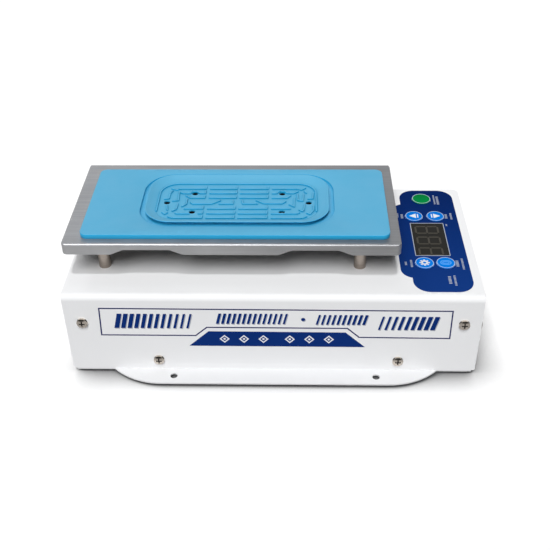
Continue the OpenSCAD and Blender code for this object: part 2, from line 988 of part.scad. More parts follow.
module silicone_mat() {
    color("skyblue")
    difference() {
        union() {
            translate([mat_x, mat_y, plate_top])
                rounded_block(mat_w, mat_d, mat_t, mat_r);
            translate([pad_x, pad_y, plate_top])
                rounded_block(pad_w, pad_d, mat_t + pad_h, pad_r);
        }
        for (s = lip_steps)
            translate([pad_x, pad_y, pad_top - s[1]])
                rounded_block(pad_w - 2 * s[0], pad_d - 2 * s[0], s[1] + over, pad_r - s[0]);
        for (p = suction_places)
            translate([p[0], p[1], plate_top])
                hole(suction_d, mat_t);
    }
}

// Sheet under the plate, open round the manifold, the pillars and the cut-out's feet
module underplate_sheet(z, t, cutout_open) {
    difference() {
        translate([plate_x, 0, z])
            rounded_block(plate_w - 2 * heater_in, plate_d - 2 * heater_in, t, plate_corner_r);
        translate([pad_x, suction_y, z - over])
            rounded_block(
                manifold_w + 2 * manifold_flange + 2 * heater_window_gap,
                manifold_d + 2 * manifold_flange + 2 * heater_window_gap,
                t + 2 * over, manifold_r
            );
        at_pillars(z)
            hole(pillar_d + 2 * pillar_ring_gap, t);
        if (cutout_open)
            translate([cutout_x, 0, z - over])
                block(
                    cutout_d + 2 * heater_window_gap, cutout_flange_w + 2 * heater_window_gap, t + 2 * over
                );
        else
            for (s = [-1, 1])
                translate([cutout_x, s * cutout_screw_span / 2, z])
                    hole(small_d + 2 * screw_hole_gap, t);
    }
}

module heater_pad() {
    color("saddlebrown")
    underplate_sheet(heater_bottom, heater_t, false);
}

module insulation_board() {
    color("beige")
    difference() {
        underplate_sheet(insulation_bottom, insulation_t, true);
        for (x = heater_lead_x)
            translate([x, terminal_y, insulation_bottom])
                hole(lead_d + 2 * seat_gap, insulation_t);
    }
}

module manifold_outline(grow) {
    rounded_outline(manifold_w + 2 * grow, manifold_d + 2 * grow, manifold_r);
}

module vacuum_manifold() {
    color("lightgray")
    difference() {
        translate([pad_x, suction_y, 0])
            difference() {
                union() {
                    translate([0, 0, manifold_bottom])
                        linear_extrude(manifold_h)
                            manifold_outline(0);
                    translate([0, 0, manifold_top - manifold_flange_t])
                        linear_extrude(manifold_flange_t)
                            manifold_outline(manifold_flange);
                }
                translate([0, 0, manifold_bottom + manifold_wall])
                    linear_extrude(manifold_h)
                        manifold_outline(-manifold_wall);
            }
        for (p = manifold_screw_places)
            translate([p[0], p[1], manifold_top - manifold_flange_t])
                hole(small_d + 2 * screw_hole_gap, manifold_flange_t);
        translate([hose_x, hose_y, manifold_bottom])
            hole(barb_d + 2 * thread_gap, manifold_wall);
    }
}

module manifold_gasket() {
    color("red")
    difference() {
        translate([pad_x, suction_y, manifold_top])
            linear_extrude(gasket_t)
                difference() {
                    manifold_outline(manifold_flange);
                    manifold_outline(-manifold_wall);
                }
        for (p = manifold_screw_places)
            translate([p[0], p[1], manifold_top])
                hole(small_d + 2 * screw_hole_gap, gasket_t);
    }
}

module manifold_screws() {
    color("lightgray")
    for (p = manifold_screw_places)
        translate([p[0], p[1], manifold_top - manifold_flange_t])
            rotate([180, 0, 0])
                pan_screw(manifold_flange_t + gasket_t + plate_t, small_d, small_head_d);
}

module hose_barb() {
    color("goldenrod")
    translate([hose_x, hose_y, manifold_bottom])
        difference() {
            union() {
                cylinder(d = barb_d, h = barb_thread_len);
                translate([0, 0, -barb_collar_h])
                    cylinder(d = barb_collar_d, h = barb_collar_h);
                translate([0, 0, -barb_collar_h - barb_len])
                    cylinder(d = barb_d, h = barb_len);
            }
            translate([0, 0, -barb_collar_h - barb_len])
                hole(barb_bore, barb_len + barb_collar_h + barb_thread_len);
        }
}

module vacuum_hose() {
    color("whitesmoke")
    translate([hose_x, hose_y, head_top])
        tube(hose_d, barb_d + 2 * seat_gap, hose_top - head_top);
}

module grommet(bore) {
    difference() {
        union() {
            translate([0, 0, roof - grommet_lip_h])
                cylinder(d = grommet_hole_d + 2 * grommet_lip, h = grommet_lip_h);
            translate([0, 0, roof])
                cylinder(d = grommet_hole_d, h = sheet);
            translate([0, 0, case_top])
                cylinder(d = grommet_hole_d + 2 * grommet_lip, h = grommet_lip_h);
        }
        translate([0, 0, roof - grommet_lip_h])
            hole(bore, sheet + 2 * grommet_lip_h);
    }
}

module case_grommets() {
    color("dimgray")
    for (p = grommet_places)
        translate([p[0], p[1], 0])
            grommet(hose_d + 2 * seat_gap);
}

module thermal_cutout() {
    color("silver")
    translate([cutout_x, 0, heater_bottom])
        difference() {
            union() {
                translate([0, 0, -cutout_flange_t])
                    block(cutout_flange_d, cutout_flange_w, cutout_flange_t);
                translate([0, 0, -cutout_h])
                    cylinder(d = cutout_d, h = cutout_h);
                for (s = [-1, 1])
                    translate([0, s * cutout_d / 4, -cutout_h - switch_tab_len])
                        block(switch_tab_w, switch_tab_t, switch_tab_len);
            }
            for (s = [-1, 1])
                translate([0, s * cutout_screw_span / 2, -cutout_flange_t])
                    hole(small_d + 2 * screw_hole_gap, cutout_flange_t);
        }
}

module cutout_screws() {
    color("lightgray")
    for (s = [-1, 1])
        translate([cutout_x, s * cutout_screw_span / 2, heater_bottom - cutout_flange_t])
            rotate([180, 0, 0])
                pan_screw(cutout_flange_t + heater_t + plate_t, small_d, small_head_d);
}

module heater_leads() {
    color("white")
    for (x = heater_lead_x)
        translate([x, terminal_y, power_top + terminal_h - terminal_well_deep])
            cylinder(d = lead_d, h = heater_bottom - power_top - terminal_h + terminal_well_deep);
}

module panel_outline() {
    translate([panel_x, panel_y])
        rounded_outline(panel_w, panel_d, panel_r);
    translate([bulge_x + bulge_w, bulge_y])
        rounded_outline(2 * bulge_w, bulge_d, bulge_r);
}

module control_overlay() {
    color("midnightblue")
    translate([0, 0, case_top])
        linear_extrude(overlay_t)
            difference() {
                panel_outline();
                translate([window_x, window_y])
                    square([window_w + 2 * seat_gap, window_d + 2 * seat_gap], center = true);
                for (p = key_places)
                    translate(p)
                        circle(d = (p == power_key_xy ? power_key_d : key_d) + 2 * run_gap);
            }
}

module display_window() {
    color("dimgray")
    translate([window_x, window_y, case_top])
        block(window_w, window_d, overlay_t);
}

module display_module() {
    color("black")
    translate([window_x, window_y, control_top])
        block(display_w, display_d, case_top - display_gap - control_top);
}

module control_board() {
    color("darkgreen")
    difference() {
        translate([panel_x, 0, control_bottom])
            block(control_w, control_d, board_t);
        for (p = spacer_places)
            translate([p[0], p[1], control_bottom])
                hole(small_d + 2 * screw_hole_gap, board_t);
    }
}

module board_spacers() {
    color("goldenrod")
    for (p = spacer_places)
        translate([p[0], p[1], control_top])
            tube(spacer_d, small_d + 2 * thread_gap, spacer_h);
}

module board_screws() {
    color("lightgray") {
        for (p = spacer_places)
            translate([p[0], p[1], control_bottom])
                rotate([180, 0, 0])
                    pan_screw(spacer_h, small_d, small_head_d);
        for (p = power_spacer_places)
            translate([p[0], p[1], power_top])
                pan_screw(power_spacer_h + board_t + sheet, small_d, small_head_d);
    }
}

module tact_switches() {
    color("black")
    for (p = key_places)
        translate([p[0], p[1], control_top])
            difference() {
                block(tact_w, tact_w, tact_h);
                translate([0, 0, tact_h - tact_well_deep])
                    hole(key_stem_d + 2 * tact_well_gap, tact_well_deep);
            }
}

// Key cap that stands just proud of the overlay, with the stem that reaches its switch
module key(place, d, tint) {
    cap_z = case_top + key_rise;
    stem_z = control_top + tact_h - tact_well_deep + key_travel + seat_gap;
    color(tint)
    translate([place[0], place[1], 0])
        rotate_extrude()
            polygon([
                [0, stem_z], [key_stem_d / 2, stem_z], [key_stem_d / 2, cap_z], [d / 2, cap_z],
                [d / 2, cap_z + key_t], [d / 2 - key_crown, cap_z + key_t + key_crown],
                [0, cap_z + key_t + key_crown]
            ]);
}

module power_key() {
    key(power_key_xy, power_key_d, "green");
}

module lower_key() {
    key(lower_key_xy, key_d, "dodgerblue");
}

module raise_key() {
    key(raise_key_xy, key_d, "dodgerblue");
}

module set_key() {
    key(set_key_xy, key_d, "dodgerblue");
}

module pump_key() {
    key(pump_key_xy, key_d, "dodgerblue");
}

module board_sockets() {
    color("ivory") {
        translate([control_socket_x, power_socket_y, control_bottom - socket_h])
            block(socket_w, socket_d, socket_h);
        translate([power_socket_x, power_socket_y, power_top])
            block(socket_w, socket_d, socket_h);
    }
}

module panel_ribbon() {
    top_z = control_bottom - socket_h;
    low_z = power_top + socket_h;
    mid_x = (control_socket_x + power_socket_x) / 2;
    color("lightslategray")
    translate([0, power_socket_y + ribbon_d / 2, 0])
        rotate([90, 0, 0])
            linear_extrude(ribbon_d) {
                translate([control_socket_x + ribbon_t / 2, ribbon_turn_z])
                    bent_strip(
                        control_socket_x + ribbon_t / 2 - mid_x + seam, top_z - ribbon_turn_z,
                        ribbon_r, ribbon_t
                    );
                translate([power_socket_x - ribbon_t / 2, ribbon_turn_z + ribbon_t])
                    rotate(180)
                        bent_strip(
                            mid_x - power_socket_x + ribbon_t / 2, ribbon_turn_z + ribbon_t - low_z,
                            ribbon_r, ribbon_t
                        );
            }
}

module power_board() {
    color("darkgreen")
    difference() {
        translate([power_x, power_y, power_bottom])
            block(power_w, power_d, board_t);
        for (p = power_spacer_places)
            translate([p[0], p[1], power_bottom])
                hole(small_d + 2 * screw_hole_gap, board_t);
    }
}

module power_board_spacers() {
    color("white")
    for (p = power_spacer_places)
        translate([p[0], p[1], base_top])
            tube(spacer_d, small_d + 2 * screw_hole_gap, power_spacer_h);
}

module transformer_core() {
    color("slategray")
    translate([core_x, core_y, power_top])
        difference() {
            block(core_w, core_d, core_h);
            for (s = [-1, 1])
                translate([s * (core_w - 3 * core_leg) / 4 + s * core_leg / 2, 0, core_leg])
                    block((core_w - 3 * core_leg) / 2, core_d + 2 * over, core_h - 2 * core_leg);
        }
}

module transformer_winding() {
    gap = winding_gap;
    color("orange")
    translate([core_x, core_y, power_top + core_leg + gap])
        difference() {
            block(core_w - 2 * core_leg - 2 * gap, core_d + 2 * coil_over, core_h - 2 * core_leg - 2 * gap);
            translate([0, 0, -over])
                block(core_leg + 2 * gap, core_d + 2 * gap, core_h);
        }
}

module heat_sink() {
    color("dimgray")
    translate([sink_x, sink_y, power_top]) {
        translate([0, sink_back / 2, 0])
            block(sink_w, sink_back, sink_h);
        for (k = [0:fin_count - 1])
            translate([(k / (fin_count - 1) - 1 / 2) * (sink_w - fin_t), sink_d / 2, 0])
                block(fin_t, sink_d, sink_h);
    }
}

module triac() {
    color("black")
    translate([sink_x, sink_y - triac_d / 2, power_top + sink_back])
        block(triac_w, triac_d, triac_h);
    color("silver")
    for (s = [-1, 0, 1])
        translate([sink_x + s * triac_w / 4, sink_y - triac_d / 2, power_top])
            block(switch_tab_t, switch_tab_t, sink_back);
}

module board_relay() {
    color("royalblue")
    translate([relay_x, relay_y, power_top])
        block(relay_w, relay_d, relay_h);
}

module filter_capacitors() {
    color("navy")
    for (s = [0, 1])
        translate([capacitor_x, capacitor_y + s * capacitor_pitch, power_top])
            cylinder(d = capacitor_d, h = capacitor_h);
}

module terminal_block() {
    color("forestgreen")
    translate([terminal_x, terminal_y, power_top])
        difference() {
            block(terminal_w, terminal_d, terminal_h);
            for (k = [0:terminal_count - 1])
                translate([(k - (terminal_count - 1) / 2) * lead_pitch, 0, terminal_h - terminal_well_deep])
                    cylinder(d = terminal_well_d, h = terminal_well_deep + over);
        }
}

// Mains inlet: moulded body pushed in from outside, seen here with y pointing out of the case
module at_inlet() {
    translate([inlet_x, rear_y, inlet_z])
        children();
}

module outward_box(x, z, w, h, y0, y1) {
    translate([x - w / 2, y0, z - h / 2])
        cube([w, y1 - y0, h]);
}

module inlet_blade_boxes(gap) {
    floor_y = inlet_flange_t - socket_open_deep;
    for (b = [[-blade_x, blade_low], [blade_x, blade_low], [0, blade_high]])
        outward_box(
            b[0], socket_open_z + b[1], blade_t + 2 * gap, blade_h + 2 * gap,
            -inlet_body_deep - blade_tab_len, floor_y + blade_len
        );
}

module mains_inlet() {
    color("black")
    at_inlet()
        difference() {
            union() {
                outward_box(0, 0, inlet_flange_w, inlet_flange_h, 0, inlet_flange_t);
                outward_box(0, 0, inlet_body_w, inlet_body_h, -inlet_body_deep, 0);
            }
            outward_box(
                0, socket_open_z, socket_open_w, socket_open_h,
                inlet_flange_t - socket_open_deep, inlet_flange_t + over
            );
            inlet_blade_boxes(seat_gap);
            outward_box(
                0, drawer_z, drawer_w + 2 * drawer_gap, drawer_h + 2 * drawer_gap,
                inlet_flange_t - drawer_deep - 2 * drawer_gap, inlet_flange_t + over
            );
            for (s = [-1, 1])
                translate([s * inlet_screw_span / 2, inlet_flange_t, 0])
                    rotate([90, 0, 0])
                        hole(small_d + 2 * screw_hole_gap, inlet_flange_t);
        }
}

module inlet_blades() {
    color("silver") {
        at_inlet()
            inlet_blade_boxes(0);
        at_inlet()
            for (s = [-1, 1])
                translate([s * inlet_screw_span / 2, inlet_flange_t, 0])
                    rotate([-90, 0, 0])
                        pan_screw(inlet_flange_t + 2 * sheet, small_d, small_head_d);
    }
}

module fuse_drawer() {
    color("dimgray")
    at_inlet()
        difference() {
            union() {
                outward_box(0, drawer_z, drawer_w, drawer_h, inlet_flange_t - drawer_deep, inlet_flange_t);
                outward_box(
                    0, drawer_z, drawer_w / 2, drawer_h / 2, inlet_flange_t, inlet_flange_t + drawer_lip
                );
            }
            outward_box(
                0, drawer_z + drawer_wall, fuse_len + 2 * drawer_gap, drawer_h,
                inlet_flange_t - drawer_deep + drawer_wall,
                inlet_flange_t - drawer_deep + 2 * drawer_wall + fuse_d
            );
        }
}

module inlet_fuse() {
    fuse_y = inlet_flange_t - drawer_deep + 3 * drawer_wall / 2 + fuse_d / 2;
    fuse_z = drawer_z - drawer_h / 2 + 3 * drawer_wall / 2 + fuse_d / 2;
    color("silver")
    at_inlet()
        translate([-fuse_len / 2, fuse_y, fuse_z])
            rotate([0, 90, 0]) {
                cylinder(d = fuse_d, h = fuse_cap_len);
                translate([0, 0, fuse_len - fuse_cap_len])
                    cylinder(d = fuse_d, h = fuse_cap_len);
                cylinder(d = fuse_d - drawer_lip / 2, h = fuse_len);
            }
}

module at_switch() {
    translate([switch_x, rear_y, inlet_z])
        children();
}

module switch_body() {
    color("black")
    at_switch()
        difference() {
            union() {
                outward_box(
                    0, 0, switch_w + 2 * switch_bezel, switch_h + 2 * switch_bezel, 0, switch_bezel_t
                );
                outward_box(0, 0, switch_w, switch_h, -switch_deep, 0);
                for (s = [-1, 1])
                    outward_box(
                        0, s * switch_tab_z, switch_tab_w, switch_tab_t,
                        -switch_deep - switch_tab_len, -switch_deep
                    );
            }
            outward_box(
                0, 0, rocker_w + 2 * rocker_gap, 2 * (rocker_r + rocker_gap),
                -switch_deep / 2 - rocker_pivot_in, switch_bezel_t + over
            );
            translate([-rocker_w / 2 - rocker_gap - switch_bezel / 2, -rocker_pivot_in, 0])
                rotate([0, 90, 0])
                    cylinder(d = pivot_d + 2 * pivot_gap, h = rocker_w + 2 * rocker_gap + switch_bezel);
        }
}

module switch_rocker() {
    face_y = rocker_pivot_in + switch_bezel_t;
    color("darkred")
    at_switch()
        translate([0, -rocker_pivot_in, 0]) {
            rotate([rocker_tilt, 0, 0])
                translate([-rocker_w / 2, 0, 0])
                    rotate([90, 0, 90])
                        linear_extrude(rocker_w)
                            intersection() {
                                circle(rocker_r);
                                polygon([
                                    [-rocker_low, -rocker_r], [-rocker_low, rocker_r],
                                    [face_y + rocker_low / 2, rocker_r], [face_y, 0],
                                    [face_y + rocker_low / 2, -rocker_r]
                                ]);
                            }
            translate([-rocker_w / 2 - rocker_gap - switch_bezel / 2 + seat_gap, 0, 0])
                rotate([0, 90, 0])
                    cylinder(d = pivot_d, h = rocker_w + 2 * rocker_gap + switch_bezel - 2 * seat_gap);
        }
}

// Leads between the inlet, the switch and the power board, and the earth stud
module live_lead() {
    swept_lead([
        [inlet_x - blade_x, inlet_tab_y, blade_low_z],
        [inlet_x - blade_x, inlet_tab_y - lead_stub, blade_low_z],
        [(inlet_x + switch_x) / 2, switch_tab_y - 2 * lead_stub, inlet_z - switch_tab_z],
        [switch_x, switch_tab_y - lead_stub, inlet_z - switch_tab_z],
        [switch_x, switch_tab_y, inlet_z - switch_tab_z]
    ], [0, 0, 1], lead_d / 2);
}

module switched_lead() {
    swept_lead([
        [switch_x, switch_tab_y, inlet_z + switch_tab_z],
        [switch_x, switch_tab_y - lead_stub, inlet_z + switch_tab_z],
        [live_well_x + 2 * lead_stub, terminal_y + 2 * lead_stub, block_z + 2 * lead_stub],
        [live_well_x, terminal_y, block_z + lead_stub],
        [live_well_x, terminal_y, block_z - lead_d / 2]
    ], [1, 0, 0], lead_d / 2);
}

module neutral_lead() {
    swept_lead([
        [inlet_x + blade_x, inlet_tab_y, blade_low_z],
        [inlet_x + blade_x, inlet_tab_y - lead_stub, blade_low_z],
        [inlet_x - blade_x, inlet_tab_y - 2 * lead_stub, block_z + 5 * lead_stub],
        [switch_x - lead_stub, terminal_y - lead_stub, block_z + 5 * lead_stub],
        [neutral_well_x + 2 * lead_stub, terminal_y - lead_stub, block_z + 4 * lead_stub],
        [neutral_well_x, terminal_y, block_z + lead_stub],
        [neutral_well_x, terminal_y, block_z - lead_d / 2]
    ], [0, 1, 0], lead_d / 2);
}

module earth_lead() {
    stud_top = base_top + earth_stud_h;
    swept_lead([
        [inlet_x, inlet_tab_y, blade_high_z],
        [inlet_x, inlet_tab_y - lead_stub, blade_high_z],
        [inlet_x - blade_x, inlet_tab_y - 2 * lead_stub, (inlet_z + stud_top) / 2],
        [earth_x + earth_nut_d, earth_y - lead_stub, stud_top + lead_stub / 2],
        [earth_x, earth_y, stud_top]
    ], [1, 0, 0], lead_d / 2);
    translate([earth_x, earth_y, foot_h]) {
        cylinder(d = earth_stud_d, h = sheet + earth_stud_h - lead_d / 2);
        translate([0, 0, sheet])
            cylinder(d = earth_nut_d, h = earth_nut_h, $fn = 6);
    }
}

module internal_leads() {
    color("crimson")
    live_lead();
    color("crimson")
    switched_lead();
    color("royalblue")
    neutral_lead();
    color("yellowgreen")
    earth_lead();
}

module at_dampers(z) {
    for (sx = [-1, 1], sy = [-1, 1])
        translate([
            pump_x + sx * (pump_frame_w / 2 - damper_in),
            pump_y + sy * (pump_frame_d / 2 - damper_in), z
        ])
            children();
}

module pump_dampers() {
    color("dimgray")
    at_dampers(base_top) {
        cylinder(d = damper_d, h = damper_h);
        translate([0, 0, damper_h])
            cylinder(d = damper_neck_d, h = pump_frame_t);
        translate([0, 0, damper_h + pump_frame_t])
            cylinder(d = damper_neck_d + 2 * grommet_lip, h = grommet_lip_h);
    }
}

module pump_frame() {
    color("lightsteelblue")
    difference() {
        union() {
            translate([pump_x, pump_y, pump_floor])
                block(pump_frame_w, pump_frame_d, pump_frame_t);
            for (s = [-1, 1])
                translate([pump_x + s * (pump_frame_w - pump_frame_t) / 2, pump_y, pump_floor])
                    block(pump_frame_t, head_size, pump_plate_h);
            for (s = [-1, 1])
                translate([
                    pump_x, pump_y + s * (armature_w / 2 + magnet_air + pump_core_reach - pump_core_back / 2),
                    pump_floor
                ])
                    block(pump_core_len / 2, pump_core_back, pump_axis_z - pump_core_h / 2 - pump_floor);
        }
        translate([pump_left, pump_y, pump_axis_z])
            rotate([0, 90, 0])
                hole(pump_port_d, pump_frame_w);
        at_dampers(pump_floor)
            hole(damper_neck_d + 2 * seat_gap, pump_frame_t);
    }
}

// E-shaped core outline: the back at the right, three legs to the left
module core_outline() {
    translate([pump_core_reach - pump_core_back, -pump_core_len / 2])
        square([pump_core_back, pump_core_len]);
    for (s = [-1, 0, 1])
        translate([0, s * (pump_core_len - pump_core_leg) / 2 - pump_core_leg / 2])
            square([pump_core_reach, pump_core_leg]);
}

module at_cores() {
    for (m = [0, 1])
        translate([pump_x, pump_y, pump_axis_z - pump_core_h / 2])
            mirror([0, m, 0])
                translate([0, armature_w / 2 + magnet_air, 0])
                    rotate(90)
                        mirror([0, 1, 0])
                            children();
}

module pump_cores() {
    color("slategray")
    at_cores()
        linear_extrude(pump_core_h)
            core_outline();
}

module pump_coils() {
    gap = winding_gap;
    wire_w = (pump_core_len - 3 * pump_core_leg) / 2 - 2 * gap;
    color("orangered")
    at_cores()
        translate([gap, 0, 0])
            difference() {
                translate([0, -pump_core_leg / 2 - wire_w - gap / 2, -coil_over / 2])
                    cube([
                        pump_core_reach - pump_core_back - 2 * gap, pump_core_leg + 2 * wire_w + gap,
                        pump_core_h + coil_over
                    ]);
                translate([-over, -pump_core_leg / 2 - gap / 2, -gap / 2])
                    cube([pump_core_reach, pump_core_leg + gap, pump_core_h + gap]);
            }
}

module pump_armature() {
    bar_left = pump_left - diaphragm_t / 2;
    bar_right = pump_right + diaphragm_t / 2;
    color("gray")
    translate([0, pump_y, pump_axis_z]) {
        translate([bar_left, -armature_w / 2, -armature_h / 2])
            cube([bar_right - bar_left, armature_w, armature_h]);
        for (s = [-1, 1])
            translate([pump_x + s * magnet_span / 2 - magnet_w / 2, -armature_w / 2, -magnet_h / 2])
                cube([magnet_w, armature_w, magnet_h]);
        for (x = [bar_left, bar_right])
            translate([x - hub_t / 2, 0, 0])
                rotate([0, 90, 0])
                    cylinder(d = hub_d, h = hub_t);
    }
}

module pump_diaphragms() {
    color("dimgray")
    for (x = [pump_left - diaphragm_t, pump_right])
        translate([x, pump_y, pump_axis_z])
            rotate([0, 90, 0])
                difference() {
                    cylinder(d = diaphragm_d, h = diaphragm_t);
                    hole(hub_d + 2 * rocker_gap, diaphragm_t);
                    for (z = [-diaphragm_bead / 4, diaphragm_t + diaphragm_bead / 4])
                        translate([0, 0, z])
                            rotate_extrude()
                                translate([(hub_d + diaphragm_d) / 4, 0])
                                    circle(d = diaphragm_bead);
                }
}

// Square moulding that closes one end of the pump, hollow towards the diaphragm
module pump_end(w, deep) {
    difference() {
        rotate([0, 90, 0])
            rounded_block(head_size, head_size, w, head_r);
        rotate([0, 90, 0])
            translate([0, 0, -over])
                cylinder(d = chamber_d, h = deep + over);
    }
}

module pump_head() {
    neck_z = head_size / 2;
    port_x = hose_x - head_x;
    color("white")
    translate([head_x, pump_y, pump_axis_z])
        difference() {
            union() {
                pump_end(head_w, chamber_deep);
                translate([port_x, hose_y - pump_y, neck_z])
                    cylinder(d = barb_d, h = barb_len);
                translate([port_x, outlet_y - pump_y, neck_z])
                    cylinder(d = silencer_d, h = silencer_len);
            }
            translate([port_x, hose_y - pump_y, 0])
                cylinder(d = barb_bore, h = neck_z + barb_len + over);
            translate([0, hose_y - pump_y, 0])
                rotate([0, 90, 0])
                    cylinder(d = barb_bore, h = port_x + barb_bore / 2);
        }
}

module pump_end_cap() {
    color("white")
    translate([pump_left - diaphragm_t, pump_y, pump_axis_z])
        mirror([1, 0, 0])
            pump_end(cap_w, chamber_deep);
}

base_tray();
top_cover();
rear_panel();
corner_brackets();
case_screws();
rubber_feet();
hot_plate();
plate_pillars();
plate_screws();
pillar_screws();
silicone_mat();
heater_pad();
insulation_board();
vacuum_manifold();
manifold_gasket();
manifold_screws();
hose_barb();
vacuum_hose();
case_grommets();
thermal_cutout();
cutout_screws();
heater_leads();
control_overlay();
display_window();
display_module();
control_board();
board_spacers();
board_screws();
tact_switches();
power_key();
lower_key();
raise_key();
set_key();
pump_key();
panel_ribbon();
board_sockets();
power_board();
power_board_spacers();
transformer_core();
transformer_winding();
heat_sink();
triac();
board_relay();
filter_capacitors();
terminal_block();
mains_inlet();
inlet_blades();
fuse_drawer();
inlet_fuse();
switch_body();
switch_rocker();
internal_leads();
pump_frame();
pump_cores();
pump_coils();
pump_armature();
pump_diaphragms();
pump_head();
pump_end_cap();
pump_dampers();
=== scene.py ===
"""Looks of a heated suction plate with its control case, dressed around the fixed frame."""
import json
import logging
from dataclasses import dataclass
from enum import Enum
from functools import cache
from math import cos, pi, radians, sin

import bmesh
import bpy
import numpy as np
from mathutils import Matrix, Vector


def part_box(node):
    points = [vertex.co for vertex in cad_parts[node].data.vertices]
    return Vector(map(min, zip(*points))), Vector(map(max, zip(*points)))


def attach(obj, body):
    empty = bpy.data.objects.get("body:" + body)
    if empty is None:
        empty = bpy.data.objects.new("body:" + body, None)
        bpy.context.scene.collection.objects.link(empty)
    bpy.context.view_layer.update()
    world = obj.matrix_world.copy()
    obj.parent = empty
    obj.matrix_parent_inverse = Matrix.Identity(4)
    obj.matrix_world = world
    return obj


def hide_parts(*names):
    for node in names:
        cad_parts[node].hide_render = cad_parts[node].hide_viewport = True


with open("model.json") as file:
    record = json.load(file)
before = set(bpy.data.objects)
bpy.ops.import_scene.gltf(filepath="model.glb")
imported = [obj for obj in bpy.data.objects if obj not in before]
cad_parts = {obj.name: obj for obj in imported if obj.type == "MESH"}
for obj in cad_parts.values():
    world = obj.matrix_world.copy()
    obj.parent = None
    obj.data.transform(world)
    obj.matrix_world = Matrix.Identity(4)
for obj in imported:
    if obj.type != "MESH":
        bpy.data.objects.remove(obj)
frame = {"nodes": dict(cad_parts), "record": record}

LOG = logging.getLogger("separator")
MM = 0.001
CASE, MAT = "case", "mat"
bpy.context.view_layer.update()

Point2 = tuple[float, float]
Points = list[Point2]
Triple = tuple[float, float, float]
Colour = Triple
Vert, Edge, Face = bmesh.types.BMVert, bmesh.types.BMEdge, bmesh.types.BMFace
Material = bpy.types.Material
Socket = bpy.types.NodeSocket
Feed = Socket | float | tuple


class Slot(Enum):
    """Names of some of the record's material slots; nothing in the script reads them."""

    SILICONE = "blue_silicone"
    PRINT = "overlay_print"
    WINDOW = "smoked_window"
    SCREW = "screw_metal"
    RUBBER = "black_rubber"


class Key(Enum):
    """The panel's five round keys."""

    POWER = "power"
    LOWER = "lower"
    RAISE = "raise"
    SET = "set"
    PUMP = "pump"


class Graph:
    """Nodes under construction, of a material or of the world."""

    def __init__(self, tree: bpy.types.NodeTree) -> None:
        """Starts on a tree of nodes."""
        self.nodes = tree.nodes
        self.links = tree.links

    def feed(self, socket: Socket, value: Feed) -> None:
        """Links a value to a socket, or sets it there where it is a constant.

        Args:
            socket: The socket that takes it.
            value: Another socket, a number, a vector or a colour.
        """
        if isinstance(value, Socket):
            self.links.new(value, socket)
        elif isinstance(value, tuple):
            socket.default_value = (*value, 1.0)[:len(socket.default_value)]
        else:
            socket.default_value = value

    def node(self, kind: str, *values: Feed, **named: Feed | str) -> bpy.types.Node:
        """Adds a node.

        Args:
            kind: Blender's name of the node, without its prefix.
            values: What feeds its first inputs, in order.
            named: Its settings, in small letters, and its inputs, with underscores for spaces.

        Returns:
            The node.
        """
        node = self.nodes.new("ShaderNode" + kind)
        for name, value in named.items():
            if name.islower():
                setattr(node, name, value)
            else:
                self.feed(node.inputs[name.replace("_", " ")], value)
        for socket, value in zip(node.inputs, values):
            self.feed(socket, value)
        return node


